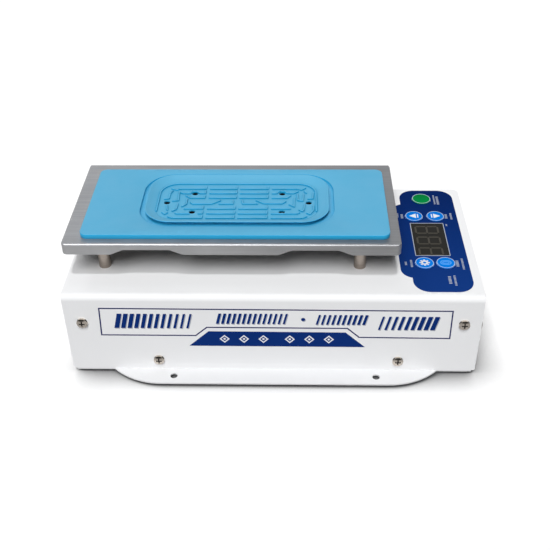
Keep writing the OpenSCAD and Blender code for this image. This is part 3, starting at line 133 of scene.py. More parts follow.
class Sketch(Graph):
    """A node material under construction, on Object coordinates."""

    def __init__(self, name: str) -> None:
        """Starts an empty surface.

        Args:
            name: Name of the material.
        """
        self.material = bpy.data.materials.new(name)
        self.material.use_nodes = True
        super().__init__(self.material.node_tree)
        self.shader = self.nodes["Principled BSDF"]
        self.where = self.nodes.new("ShaderNodeTexCoord")
        self.place = self.where.outputs["Object"]

    def set(self, **sockets: Feed) -> None:
        """Feeds the shader's own sockets, named with underscores for spaces."""
        for name, value in sockets.items():
            self.feed(self.shader.inputs[name.replace("_", " ")], value)

    def stretched(self, scale: Triple) -> Socket:
        """Object coordinates scaled along each axis."""
        return self.node("Mapping", Scale=scale, Vector=self.place).outputs["Vector"]

    def noise(self, scale: float, detail: float, vector: Socket | None = None) -> Socket:
        """Soft noise from 0 to 1, with so many features a metre and so many octaves."""
        return self.node("TexNoise", Scale=scale, Detail=detail, Vector=vector or self.place).outputs["Fac"]

    def ramp(self, value: Socket, low: float, high: float, source: Point2 = (0.3, 0.7)) -> Socket:
        """Maps a value from the source's two ends to low and high."""
        ends = {"From_Min": source[0], "From_Max": source[1], "To_Min": low, "To_Max": high}
        return self.node("MapRange", Value=value, **ends).outputs["Result"]

    def mix(self, share: Feed, first: Feed, second: Feed, mode: str = "MIX") -> Socket:
        """Mixes two colours.

        Args:
            share: Share of the second colour.
            first: Colour at 0.
            second: Colour at 1.
            mode: Blender's name for the way they mix.

        Returns:
            The mixed colour.
        """
        node = self.node("Mix", data_type="RGBA", blend_type=mode)
        for k, value in ((0, share), (6, first), (7, second)):
            self.feed(node.inputs[k], value)
        return node.outputs[2]

    def tint(self, colour: Socket, factor: Socket) -> Socket:
        """Darkens or lightens a colour by a factor."""
        return self.mix(1.0, colour, factor, "MULTIPLY")

    def spread(self, share: Socket, colour: Colour, low: float, high: float) -> Socket:
        """A colour that goes from one factor on it to another."""
        return self.mix(share, shade(colour, low), shade(colour, high))

    def gloss(self, roughness: float, noise: Socket, low: float, high: float) -> None:
        """Makes the roughness uneven, between two factors on it."""
        self.set(Roughness=self.ramp(noise, roughness * low, roughness * high))

    def maths(self, operation: str, first: Socket, second: Socket | float) -> Socket:
        """Combines two values by one of Blender's operations."""
        return self.node("Math", first, second, operation=operation).outputs[0]

    def bump(self, height: Socket, depth: float, strength: float = 1.0) -> None:
        """Gives the surface a relief of that depth in metres, from a height of 0 to 1."""
        node = self.node("Bump", Strength=strength, Distance=depth, Height=height)
        self.set(Normal=node.outputs["Normal"])

    def axis(self, name: str) -> Socket:
        """One Object coordinate, X, Y or Z, in metres."""
        return self.node("SeparateXYZ", self.place).outputs[name]

    def facing_up(self) -> Socket:
        """How far the surface faces up, from -1 to 1."""
        return self.node("SeparateXYZ", self.where.outputs["Normal"]).outputs["Z"]

    def openness(self, distance: float, shut: float, free: float, towards: Triple | None = None) -> Socket:
        """How open the surface lies: 0 deep in a corner, 1 in the clear.

        Args:
            distance: Reach of the test, in metres.
            shut: Openness that counts as 0.
            free: Openness that counts as 1.
            towards: Side that counts most, where the things around the piece count too.

        Returns:
            The value, 0 to 1.
        """
        node = self.node("AmbientOcclusion", only_local=towards is None, samples=16, Distance=distance)
        if towards:
            self.feed(node.inputs["Normal"], self.node("CombineXYZ", *towards).outputs[0])
        return self.ramp(node.outputs["AO"], 0.0, 1.0, (shut, free))


def shade(colour: Colour, factor: float) -> Colour:
    """A lighter or darker copy of a colour, capped at 1."""
    return tuple(min(1.0, c * factor) for c in colour)


@dataclass(frozen=True)
class Finish:
    """A procedural finish; every kind paints a sketch in its own way."""

    name: str

    def build(self) -> Material:
        """Makes the material."""
        sketch = Sketch(self.name)
        self.paint(sketch)
        return sketch.material

    def paint(self, s: Sketch) -> None:
        """Draws the surface.

        Args:
            s: The sketch that takes it.
        """
        raise NotImplementedError


@dataclass(frozen=True)
class Grained(Finish):
    """A coated, moulded or cast surface: mottled colour, fine grain and uneven gloss."""

    colour: Colour
    roughness: float = 0.45
    grain: float = 900.0
    mottle: float = 0.04
    depth: float = 0.03 * MM
    metallic: float = 0.0
    specular: float = 0.5
    blotch: float = 30.0

    def paint(self, s: Sketch) -> None:
        """Draws the surface."""
        s.set(Metallic=self.metallic, Specular_IOR_Level=self.specular)
        blotches = s.noise(self.blotch, 3.0)
        s.set(Base_Color=s.spread(blotches, self.colour, 1 - self.mottle, 1 + self.mottle))
        s.gloss(self.roughness, s.noise(self.blotch * 3, 4.0), 0.85, 1.15)
        s.bump(s.noise(self.grain, 3.0), self.depth)


@dataclass(frozen=True)
class Brushed(Finish):
    """Rolled or brushed metal with fine streaks along one axis."""

    colour: Colour
    streak: Triple
    roughness: float = 0.34
    metallic: float = 1.0
    contrast: float = 0.10
    depth: float = 0.006 * MM
    cloud: float = 18.0

    def paint(self, s: Sketch) -> None:
        """Draws the surface."""
        lines = s.noise(1.0, 4.0, s.stretched(self.streak))
        across = s.ramp(lines, 0.0, 1.0)
        s.set(Metallic=self.metallic)
        s.set(Base_Color=s.spread(across, self.colour, 1 - self.contrast, 1 + self.contrast))
        s.gloss(self.roughness, s.noise(self.cloud, 3.0), 0.85, 1.2)
        s.bump(lines, self.depth, 0.6)


@dataclass(frozen=True)
class GroundPlate(Finish):
    """Folded steel plate: a darker top and a brighter brushed skirt, painted in two tones for how each reflects the
    light, a painted dark underside for the shade beneath it, and a painted sheen that brightens it towards the
    left.
    """

    name: str = "plate_ground"
    # The top and the skirt are one sheet; their two tones are painted light.
    top: Colour = (0.244, 0.249, 0.261)
    skirt: Colour = (0.412, 0.414, 0.420)
    # Painted shade of the underside.
    painted_under_shade: Colour = (0.035, 0.033, 0.032)
    bend: Point2 = (0.1030, 0.1046)
    below: Point2 = (-0.3, -0.7)
    length: Point2 = (-0.148, 0.090)
    # Painted sheen: brightness at the left end and at the right end.
    painted_sheen_ramp: Point2 = (1.26, 0.78)
    streak: Triple = (8.0, 750.0, 750.0)
    cloud: float = 38.0
    metallic: float = 0.55
    roughness: float = 0.36
    depth: float = 0.005 * MM

    def paint(self, s: Sketch) -> None:
        """Draws the surface."""
        lines, cloud = s.noise(1.0, 4.0, s.stretched(self.streak)), s.noise(self.cloud, 4.0)
        # Painted light: below the bend the skirt takes its lighter tone.
        sides = s.mix(s.ramp(s.axis("Z"), 0.0, 1.0, self.bend), self.skirt, self.top)
        # Painted shade: faces that point down turn near black.
        tone = s.mix(s.ramp(s.facing_up(), 0.0, 1.0, self.below), sides, self.painted_under_shade)
        grain = s.maths("MULTIPLY", s.ramp(lines, 0.91, 1.09), s.ramp(cloud, 0.93, 1.07))
        # Painted sheen that dims from left to right.
        painted_sheen_ramp = s.ramp(s.axis("X"), *self.painted_sheen_ramp, self.length)
        s.set(Metallic=self.metallic, Base_Color=s.tint(tone, s.maths("MULTIPLY", grain, painted_sheen_ramp)))
        s.gloss(self.roughness, cloud, 0.88, 1.2)
        s.bump(lines, self.depth, 0.6)


@dataclass(frozen=True)
class Turned(Finish):
    """Plated hardware: bright metal with worn spots and uneven gloss, a painted dark reflection band on the faces
    of each head that point partly up, and painted shade in its recesses.
    """

    colour: Colour
    roughness: float
    # rise and fall mark out, by how far a face points up, the slopes that get a painted dark reflection band; dark
    # sets how dark that band gets.
    rise: Point2 = (0.24, 0.32)
    fall: Point2 = (0.74, 0.84)
    dark: float = 0.08
    # Reach and ends of the painted shade that darkens the recesses.
    painted_recess_shade: Triple = (1.2 * MM, 0.35, 0.8)

    def paint(self, s: Sketch) -> None:
        """Draws the surface."""
        spots = s.ramp(s.noise(420.0, 3.0), 0.0, 0.5)
        rise, fall = s.ramp(s.facing_up(), 0.0, 1.0, self.rise), s.ramp(s.facing_up(), 1.0, 0.0, self.fall)
        # Painted reflection: a dark band on faces that point partly up, lighter again at the crown; spots of wear
        # darken it further.
        painted_band_and_wear = s.spread(s.maths("MULTIPLY", rise, fall), self.colour, 1.0, self.dark)
        painted_band_and_wear = s.tint(painted_band_and_wear, s.ramp(spots, 1.0, 0.6, (0.0, 1.0)))
        # Painted shade darkens the recesses, such as the crosses of the screws.
        s.set(Metallic=1.0, Base_Color=s.tint(painted_band_and_wear, s.openness(*self.painted_recess_shade)))
        s.gloss(self.roughness, s.noise(260.0, 3.0), 0.7, 1.6)
        s.bump(s.noise(2600.0, 2.0), 0.01 * MM, 0.5)


@dataclass(frozen=True)
class Silicone(Finish):
    """Moulded silicone: matte and a little dusty, with a painted more saturated tone on faces that don't point up
    and painted shade in its corners, under its lip and at the feet of its ribs.
    """

    name: str = "silicone_blue"
    colour: Colour = (0.083, 0.382, 0.606)
    dusty: Colour = (0.104, 0.410, 0.632)
    # Painted light: a more saturated tone for faces that don't point up.
    edge: Colour = (0.014, 0.43, 0.78)
    # Painted shade: corner is the tone in corners, under the lip and at the feet of the ribs; corners gives the
    # reach and ends of that shade.
    corner: Colour = (0.0, 0.255, 0.46)
    sides: Point2 = (0.25, 0.85)
    corners: Triple = (3.2 * MM, 0.52, 0.98)
    roughness: float = 0.55
    specular: float = 0.48

    def paint(self, s: Sketch) -> None:
        """Draws the surface."""
        skin = s.mix(s.noise(26.0, 4.0), self.colour, self.dusty)
        # Painted light: faces that don't point up take the edge tone.
        skin_and_painted_sides = s.mix(s.ramp(s.facing_up(), 0.0, 1.0, self.sides), self.edge, skin)
        # Painted shade pulls corners and hollows toward the corner tone.
        s.set(Specular_IOR_Level=self.specular, Base_Color=s.mix(s.openness(*self.corners), self.corner, skin_and_painted_sides))
        s.gloss(self.roughness, s.noise(70.0, 4.0), 0.85, 1.15)
        s.bump(s.noise(1500.0, 3.0), 0.015 * MM, 0.5)


@dataclass(frozen=True)
class PrintedFilm(Finish):
    """Printed polyester film: ink that lightens across the panel under a fine emboss."""

    dark: Colour
    light: Colour
    span: Point2 = (0.06, -0.06)
    roughness: float = 0.34
    specular: float = 0.01

    def paint(self, s: Sketch) -> None:
        """Draws the surface."""
        share = s.ramp(s.axis("Y"), 0.0, 1.0, self.span)
        s.set(Specular_IOR_Level=self.specular, Base_Color=s.mix(share, self.dark, self.light))
        s.gloss(self.roughness, s.noise(60.0, 3.0), 0.9, 1.2)
        s.bump(s.noise(3000.0, 2.0), 0.01 * MM, 0.6)


@dataclass(frozen=True)
class Banded(Finish):
    """Stacked sheets or wound wire: fine bands along one axis."""

    colour: Colour
    bands: Triple
    roughness: float = 0.4
    metallic: float = 0.0
    depth: float = 0.12 * MM

    def paint(self, s: Sketch) -> None:
        """Draws the surface."""
        wave = s.node("TexWave", Scale=1.0, Distortion=0.4, Vector=s.stretched(self.bands)).outputs["Fac"]
        s.set(Metallic=self.metallic, Base_Color=s.spread(wave, self.colour, 0.7, 1.15))
        s.gloss(self.roughness, s.noise(90.0, 3.0), 0.8, 1.2)
        s.bump(wave, self.depth, 0.7)


@dataclass(frozen=True)
class Floor(Finish):
    """White sweep that keeps the object's shadow from the lamps and meets a white background, with a painted
    contact shadow round the object's foot, darkest towards the front and right.
    """

    name: str = "studio_floor"
    seen: Colour = (1.0, 1.0, 1.0)
    bounced: Colour = (0.46, 0.46, 0.465)
    # Painted contact shadow: its darkest tone, then its reach, ends, fall and the side it leans towards.
    painted_contact_shadow: Colour = (0.085, 0.085, 0.089)
    reach: float = 0.031
    range: Point2 = (0.34, 0.95)
    fall: float = 0.72
    side: Triple = (-0.34, 0.38, 0.86)
    white: float = 0.055

    def paint(self, s: Sketch) -> None:
        """Draws the surface."""
        camera = s.node("LightPath").outputs["Is Camera Ray"]
        # Painted contact shadow: darker where the object closes in, most towards the front and right; the camera's
        # glow is darkened by it too.
        open_share = s.openness(self.reach, *self.range, self.side)
        near = s.mix(s.maths("POWER", open_share, self.fall), self.painted_contact_shadow, self.seen)
        s.set(Roughness=0.9, Specular_IOR_Level=0.0, Base_Color=s.mix(camera, self.bounced, near))
        s.set(Emission_Color=near, Emission_Strength=s.maths("MULTIPLY", camera, self.white))


def ink(
    name: str, colour: Colour, mottle: float = 0.05, specular: float = 0.06, roughness: float = 0.42,
) -> Grained:
    """The finish of a thin printed ink."""
    return Grained(name, colour, roughness, 2500.0, mottle, 0.008 * MM, 0.0, specular)


def dull(name: str, colour: Colour, roughness: float = 0.60, grain: float = 1500.0, mottle: float = 0.2) -> Grained:
    """The finish of a dark matte surface: the unlit display segments, and the painted shade of the screw crosses
    and the suction holes.
    """
    return Grained(name, colour, roughness, grain, mottle, 0.01 * MM, 0.0, 0.1)


FINISHES: dict[str, Finish] = {
    "white_steel": Grained("powder_white", (0.875, 0.88, 0.89), 0.48, 650, 0.012, specular=0.12),
    # The base tray's white is the same coat painted darker, for the lower light on the flange beside the front
    # wall.
    "white_tray": Grained("powder_white_tray_painted_shade", (0.72, 0.725, 0.735), 0.48, 650, 0.012, specular=0.2),
    "zinc_steel": Brushed("zinc_sheet", (0.56, 0.57, 0.60), (40, 300, 60), 0.38),
    "plate_metal": GroundPlate(),
    "pillar_metal": Brushed("pillar_turned", (0.37, 0.32, 0.28), (90, 90, 1400), 0.24),
    "screw_metal": Turned("nickel_plate", (0.70, 0.63, 0.55), 0.20),
    "black_rubber": Grained("foot_rubber", (0.03, 0.03, 0.032), 0.75, 1400, 0.15),
    "blue_silicone": Silicone(),
    "clear_silicone": Grained("hose_silicone", (0.72, 0.72, 0.69), 0.35, 400, 0.05),
    "overlay_print": PrintedFilm("film_navy", (0.0003, 0.0155, 0.110), (0.006, 0.038, 0.205)),
    "smoked_window": PrintedFilm(
        "window_smoked", (0.010, 0.010, 0.008), (0.017, 0.016, 0.013), roughness=0.18, specular=0.06,
    ),
    "green_key": PrintedFilm("key_green", (0.0005, 0.175, 0.034), (0.001, 0.245, 0.055), (0.064, 0.050)),
    "blue_key": PrintedFilm("key_blue", (0.001, 0.180, 0.67), (0.002, 0.200, 0.74), (0.04, -0.04)),
    "black_plastic": Grained("moulded_black", (0.022, 0.022, 0.024), 0.5, 1800, 0.1, 0.05 * MM),
    "red_plastic": Grained("moulded_red", (0.42, 0.012, 0.012), 0.32, mottle=0.05),
    "white_plastic": Grained("moulded_white", (0.74, 0.73, 0.69), grain=1300),
    "green_plastic": Grained("moulded_green", (0.05, 0.30, 0.11), grain=1300, mottle=0.08),
    "blue_plastic": Grained("moulded_blue", (0.03, 0.12, 0.50), 0.35, mottle=0.08),
    "circuit_board": Grained("board_green", (0.012, 0.13, 0.05), 0.3, 260, 0.25, 0.08 * MM, blotch=180),
    "copper_winding": Banded("wound_wire", (0.55, 0.20, 0.06), (1, 1, 260), 0.32, 0.6),
    "core_iron": Banded("core_sheets", (0.20, 0.20, 0.215), (1, 300, 1), 0.5, 0.8),
    "anodised_black": Brushed("sink_anodised", (0.035, 0.035, 0.04), (20, 20, 500), 0.45, 0.6),
    "heater_rubber": Grained("heater_cloth", (0.30, 0.09, 0.04), 0.7, 1200, 0.15, 0.12 * MM),
    "mica_board": Grained("pressed_mica", (0.09, 0.082, 0.074), 0.6, 500, 0.2, blotch=120),
    "cast_aluminium": Grained("cast_metal", (0.32, 0.325, 0.33), 0.45, 800, 0.08, 0.08 * MM, 0.9),
    "red_gasket": Grained("gasket_red", (0.45, 0.03, 0.02), 0.6, mottle=0.06),
    "brass": Turned("brass_turned", (0.60, 0.40, 0.14), 0.25),
    "lead_sleeve": Grained("sleeve_red", (0.42, 0.02, 0.02), grain=600, mottle=0.06),
    "white_sleeve": Banded("sleeve_braid", (0.75, 0.74, 0.70), (900, 900, 900), 0.7),
    "fuse_metal": Turned("tinned_blade", (0.70, 0.70, 0.71), 0.2),
    "navy": ink("ink_navy", (0.0022, 0.026, 0.170), 0.06, roughness=0.40),
    "line": ink("ink_line", (0.012, 0.013, 0.105), roughness=0.40),
    "band": ink("ink_band", (0.0012, 0.026, 0.172), 0.08, roughness=0.40),
    "white": ink("ink_white", (0.80, 0.82, 0.86), 0.03, 0.2),
    "echo": ink("ink_echo", (0.47, 0.49, 0.56), specular=0.2),
    "grey": ink("ink_grey", (0.42, 0.46, 0.54), specular=0.1),
    "edge": ink("ink_edge", (0.52, 0.64, 0.80), specular=0.1),
    "pale": ink("ink_pale", (0.10, 0.38, 0.90)),
    "segment": dull("segment_unlit", (0.048, 0.043, 0.034), 0.40, 1800.0, 0.1),
    # Painted shade: dark crosses in the screw recesses.
    "painted_cross_shade": dull("painted_cross_shade_dark", (0.012, 0.010, 0.009)),
    # Painted shade: dark sleeves in the suction holes.
    "painted_port_shade": dull("painted_port_shade_dark", (0.010, 0.008, 0.008)),
}

# The base tray takes the painted darker copy of the white coat.
OWN_FINISH = {"base_tray": "white_tray"}


@cache
def finish(name: str) -> Material:
    """A finish of the table, made at its first use."""
    return FINISHES[name].build()


def dress_nodes() -> None:
    """Gives every carried node its own finish, or that of its slot."""
    for part in frame["record"]["subparts"]:
        name, slot = part["node"], part["material_slot"]
        materials = frame["nodes"][name].data.materials
        materials.clear()
        materials.append(finish(OWN_FINISH.get(name, slot)))
        LOG.info("node %s: %s", name, slot)


@dataclass(frozen=True)
class Plane:
    """A flat place for prints: u and v along the surface, w out of it."""

    origin: Vector
    u: Vector
    v: Vector
    w: Vector

    def matrix(self) -> Matrix:
        """Matrix from the plane's own axes to the frame."""
        rows = [(self.u[i], self.v[i], self.w[i], self.origin[i]) for i in range(3)]
        return Matrix(rows + [(0.0, 0.0, 0.0, 1.0)])


def arc(centre: Point2, radius: float, start: float, end: float, steps: int) -> Points:
    """Points on an arc of so many chords, both ends included, with its angles in degrees."""
    angles = [radians(start + (end - start) * k / steps) for k in range(steps + 1)]
    return [(centre[0] + radius * cos(a), centre[1] + radius * sin(a)) for a in angles]


def circle(centre: Point2, radius: float, steps: int) -> Points:
    """Points of a whole circle."""
    return arc(centre, radius, 0, 360 - 360 / steps, steps - 1)


def metres(points: Points, shift: Point2 = (0.0, 0.0)) -> Points:
    """Points given in millimetres and shifted there, in metres."""
    return [((x + shift[0]) * MM, (y + shift[1]) * MM) for x, y in points]


def shifted(point: Point2, by: Point2) -> Point2:
    """A point moved by so much."""
    return (point[0] + by[0], point[1] + by[1])


def middle_of(node: str) -> Point2:
    """Middle of a node, seen from above."""
    low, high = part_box(node)
    return ((low.x + high.x) / 2, (low.y + high.y) / 2)


def only(made: list, kind: type) -> list:
    """Picks the elements of one kind from what an operator made."""
    return [g for g in made if isinstance(g, kind)]


def joined(vert: Vert, among: set[Vert]) -> list[Vert]:
    """Vertices of a set that an edge joins to this one."""
    return [e.other_vert(vert) for e in vert.link_edges if e.other_vert(vert) in among]


def add(name: str, data: bpy.types.ID) -> bpy.types.Object:
    """Adds an object to the scene.

    Args:
        name: Its name.
        data: Its mesh, lamp or camera.

    Returns:
        The object.
    """
    obj = bpy.data.objects.new(name, data)
    bpy.context.scene.collection.objects.link(obj)
    return obj


def rounded_loop(
    centre: Point2, width: float, depth: float, radius: float, steps: int, inset: float = 0.0,
) -> Points:
    """Outline of a rounded rectangle, anticlockwise from its lower right side.

    Args:
        centre: Centre of the rectangle.
        width: Size along x.
        depth: Size along y.
        radius: Corner radius.
        steps: Chords in each corner.
        inset: How far the outline is drawn in.

    Returns:
        The outline's points.
    """
    width, depth, radius = width - 2 * inset, depth - 2 * inset, radius - inset
    points = []
    for k, (sx, sy) in enumerate(((1, -1), (1, 1), (-1, 1), (-1, -1))):
        corner = (centre[0] + sx * (width / 2 - radius), centre[1] + sy * (depth / 2 - radius))
        points += arc(corner, radius, 90.0 * k - 90.0, 90.0 * k, steps)
    return points


class Shape:
    """A mesh under construction, in metres along the frame's axes."""

    def __init__(self) -> None:
        """Starts an empty mesh."""
        self.bm = bmesh.new()

    def raise_faces(self, faces: list[Face], height: float) -> None:
        """Turns connected flat faces at one level into a closed solid of that height along z."""
        made = bmesh.ops.extrude_face_region(self.bm, geom=faces)["geom"]
        bmesh.ops.translate(self.bm, verts=only(made, Vert), vec=(0, 0, height))

    def prism(self, outline: Points, low: float, high: float) -> None:
        """Adds a straight solid with a flat outline, from its lower to its upper level."""
        verts = [self.bm.verts.new((x, y, low)) for x, y in outline]
        self.raise_faces([self.bm.faces.new(verts)], high - low)

    def stroke(self, path: Points, width: float, low: float, high: float, closed: bool = False) -> None:
        """Adds a raised line of even width along a path, with mitred turns.

        Args:
            path: Points of the line's middle.
            width: Width of the line.
            low: Lower level.
            high: Upper level.
            closed: Whether the last point joins the first.
        """
        sides = self._sides(path, width, closed)
        left = [self.bm.verts.new((*a, low)) for a, _ in sides]
        count = len(left) if closed else len(left) - 1
        edges = [self.bm.edges.new((left[k], left[(k + 1) % len(left)])) for k in range(count)]
        made = bmesh.ops.extrude_edge_only(self.bm, edges=edges)["geom"]
        fresh = set(only(made, Vert))
        for vert, (_, right) in zip(left, sides):
            joined(vert, fresh)[0].co = (*right, low)
        self.raise_faces(only(made, Face), high - low)

    @staticmethod
    def _sides(path: Points, width: float, closed: bool) -> list[tuple[Point2, Point2]]:
        """Left and right points of a line of even width.

        Args:
            path: Points of the line's middle.
            width: Width of the line.
            closed: Whether the last point joins the first.

        Returns:
            A pair of points for each point of the path.
        """
        points = [Vector(p) for p in path]
        ahead = [(b - a).normalized() for a, b in zip(points, points[1:] + points[:1])]
        turns = list(zip(ahead[-1:] + ahead[:-1], ahead))
        if not closed:
            turns[0], turns[-1] = (ahead[0], ahead[0]), (ahead[-2], ahead[-2])
        out = []
        for p, (d1, d2) in zip(points, turns):
            normal = Vector((-(d1.y + d2.y), d1.x + d2.x)).normalized()
            reach = width / 2 / max(0.35, normal.dot(Vector((-d1.y, d1.x))))
            out.append((tuple(p + normal * reach), tuple(p - normal * reach)))
        return out

    def disc(self, centre: Point2, radius: float, low: float, high: float, steps: int) -> None:
        """Adds a round disc."""
        self.prism(circle(centre, radius, steps), low, high)

    def ring(self, centre: Point2, radius: float, width: float, low: float, high: float, steps: int = 48) -> None:
        """Adds a round ring of even width."""
        self.stroke(circle(centre, radius, steps), width, low, high, closed=True)

    def loft(self, loops: list[tuple[Points, float]]) -> None:
        """Adds a closed tube through level loops, the last joined to the first.

        Args:
            loops: Outline and level of each loop, all with as many points.
        """
        outline, level = loops[0]
        ring = [self.bm.verts.new((x, y, level)) for x, y in outline]
        first = self.close(ring)
        edges = first
        for outline, level in loops[1:]:
            made = bmesh.ops.extrude_edge_only(self.bm, edges=edges)["geom"]
            fresh = set(only(made, Vert))
            ring = [joined(v, fresh)[0] for v in ring]
            for vert, (x, y) in zip(ring, outline):
                vert.co = (x, y, level)
            edges = [e for e in only(made, Edge) if set(e.verts) <= set(ring)]
        bmesh.ops.bridge_loops(self.bm, edges=edges + first)

    def close(self, ring: list[Vert]) -> list[Edge]:
        """Joins vertices into a closed loop of edges."""
        return [self.bm.edges.new((ring[k], ring[(k + 1) % len(ring)])) for k in range(len(ring))]

    def place(self, plane: Plane) -> None:
        """Moves what was drawn in a plane's axes to the frame."""
        bmesh.ops.transform(self.bm, matrix=plane.matrix(), verts=self.bm.verts[:])

    def solid(self, name: str, material: Material) -> bpy.types.Object:
        """Ends the drawing and adds it to the scene.

        Args:
            name: Name of the object.
            material: Its material.

        Returns:
            The new object.
        """
        mesh = bpy.data.meshes.new(name)
        self.bm.to_mesh(mesh)
        self.bm.free()
        mesh.materials.append(material)
        return add(name, mesh)

    def piece(
        self, name: str, colour: str, body: str = CASE, sharp: float = 35.0,
    ) -> bpy.types.Object:
        """Makes the finished piece, riding on its body.

        Args:
            name: Name of the piece.
            colour: Name of its finish.
            body: Body of the frame that carries it.
            sharp: Angle in degrees above which an edge stays sharp.

        Returns:
            The new object.
        """
        bmesh.ops.recalc_face_normals(self.bm, faces=self.bm.faces[:])
        obj = self.solid(name, finish(colour))
        obj.data.shade_smooth()
        obj.data.set_sharp_from_angle(angle=radians(sharp))
        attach(obj, body)
        LOG.info("piece %s: %d faces on %s", name, len(obj.data.polygons), body)
        return obj


@dataclass(frozen=True)
class Lamp:
    """A distant lamp: the angle that it fills is in degrees, and towards is its light's direction."""

    name: str
    strength: float
    softness: float
    towards: Triple
    glossy: bool = True

    def build(self) -> None:
        """Adds the lamp."""
        data = bpy.data.lights.new(self.name, "SUN")
        data.energy = self.strength
        data.angle = radians(self.softness)
        lamp = add(self.name, data)
        lamp.rotation_euler = Vector(self.towards).to_track_quat("-Z", "Y").to_euler()
        lamp.visible_glossy = self.glossy


@dataclass
class Studio:
    """Camera, light and floor."""

    camera_at: Triple = (0.01914, -0.55853, 0.45420)
    pitch: float = 36.747
    yaw: float = -1.9517
    roll: float = -0.9439
    focal_px: float = 879.687
    frame_px: float = 550.0
    sensor: float = 36.0
    near: float = 0.01
    floor_size: float = 12.0
    sky: Colour = (0.93, 0.96, 1.0)
    sky_strength: float = 0.06
    lamps: tuple[Lamp, ...] = (
        Lamp("key", 1.18, 4.0, (0.01, 0.40, -1.0)),
        Lamp("softbox", 2.13, 27.0, (0.12, 0.63, -0.77)),
        Lamp("top_lamp", 0.08, 4.0, (0.05, -0.17, -1.0)),
        Lamp("rear_lamp", 0.50, 8.0, (0.25, -0.88, -0.40), glossy=False),
    )

    def camera(self) -> None:
        """Places the camera at the photograph's viewing angle."""
        pitch, yaw, roll = (radians(a) for a in (self.pitch, self.yaw, self.roll))
        ahead = Vector((sin(yaw) * cos(pitch), cos(yaw) * cos(pitch), -sin(pitch)))
        level = Vector((cos(yaw), -sin(yaw), 0.0))
        upright = level.cross(ahead)
        right = cos(roll) * level + sin(roll) * upright
        up = cos(roll) * upright - sin(roll) * level
        data = bpy.data.cameras.new("camera")
        data.sensor_fit = "HORIZONTAL"
        data.sensor_width = self.sensor
        data.lens = self.focal_px * self.sensor / self.frame_px
        data.clip_start = self.near
        camera = add("camera", data)
        camera.matrix_world = Plane(Vector(self.camera_at), right, up, -ahead).matrix()
        bpy.context.scene.camera = camera

    def world(self) -> None:
        """Even pale light, seen as white by the camera and in reflections."""
        world = bpy.data.worlds.new("studio")
        world.use_nodes = True
        graph = Graph(world.node_tree)
        light, end = graph.nodes["Background"], graph.nodes["World Output"]
        graph.feed(light.inputs["Color"], self.sky)
        graph.feed(light.inputs["Strength"], self.sky_strength)
        seen = graph.node("Background", (1.0, 1.0, 1.0))
        path = graph.node("LightPath").outputs
        share = path["Is Camera Ray"]
        for ray in ("Is Glossy Ray", "Is Transmission Ray"):
            share = graph.node("Math", share, path[ray], operation="MAXIMUM").outputs[0]
        mix = graph.node("MixShader", share, light.outputs[0], seen.outputs[0])
        graph.feed(end.inputs["Surface"], mix.outputs[0])
        bpy.context.scene.world = world

    def floor(self) -> None:
        """Adds the floor that the object stands on."""
        shape = Shape()
        bmesh.ops.create_grid(shape.bm, x_segments=1, y_segments=1, size=self.floor_size / 2)
        floor = shape.solid("floor", Floor().build())

    def build(self) -> None:
        """Sets up the camera, the world, the floor and the lamps."""
        self.camera()
        self.world()
        self.floor()
        for lamp in self.lamps:
            lamp.build()
        bpy.context.scene.view_settings.view_transform = "Standard"


# Ribs of the pad's field, in millimetres from its middle: the level and ends of each row, and the rest.
RIB_ROWS = (
    (16.3, -45.0, 44.4), (9.8, -28.8, 29.3), (3.4, -35.2, 36.8),
    (-11.6, -38.6, 39.9), (-18.1, -27.8, 44.5), (-24.1, -45.3, 47.7),
)
RIB_LINES = [
    [(-50.8, 16.8), (-46.5, 14.7), (-45.0, 16.3)],
    [(-44.8, 11.9), (-40.9, 9.7), (-35.8, 9.7), (-35.4, 12.6), (-30.7, 12.6), (-28.8, 9.8)],
    [(-38.9, 6.8), (-35.2, 3.4)], [(-49.4, 13.8), (-51.0, 9.9), (-51.1, 2.3), (-54.7, 1.7)],
    [(-44.4, 11.2), (-43.8, -0.2), (-48.4, -0.8)], [(-37.4, 2.4), (-37.3, -5.1), (-40.5, -8.8)],
    [(-34.6, -2.6), (-32.7, -4.9), (-18.5, -4.8), (-12.2, -0.1)], [(-13.5, -4.8), (-2.9, -4.8), (-2.9, 0.0)],
    [(-51.4, -6.4), (-50.5, -13.7)], [(-54.1, -16.2), (-51.8, -18.8), (-49.8, -16.7)],
    [(-43.6, -4.5), (-44.1, -12.5), (-47.0, -14.9)], [(-44.5, -17.6), (-42.7, -18.3), (-33.6, -18.2)],
    [(-49.4, -22.1), (-45.3, -24.1)], [(44.4, 16.3), (47.7, 15.1), (50.8, 17.9)],
    [(29.3, 9.8), (30.3, 13.0), (35.6, 13.0), (36.7, 10.2), (41.7, 9.9), (45.4, 12.8)],
    [(36.8, 3.4), (39.7, 7.0)], [(14.0, 0.0), (20.1, -4.3), (33.3, -4.3), (36.2, -1.2)],
    [(3.6, 0.6), (4.3, -4.7), (15.5, -4.7)], [(42.4, 3.8), (42.2, -8.5), (38.5, -5.5)],
    [(44.7, 8.9), (45.1, 0.1), (48.7, -0.5), (49.2, 8.9)], [(49.8, 13.4), (51.4, 10.2)],
    [(56.5, 10.9), (56.0, 2.6), (52.1, 2.2)], [(50.0, -4.8), (49.4, -13.4), (48.4, -14.8), (45.8, -12.8)],
    [(56.3, -6.7), (56.5, -13.3), (53.9, -18.7), (51.3, -17.0)], [(44.5, -18.1), (46.4, -16.4)],
    [(47.7, -24.1), (51.6, -21.7)],
]


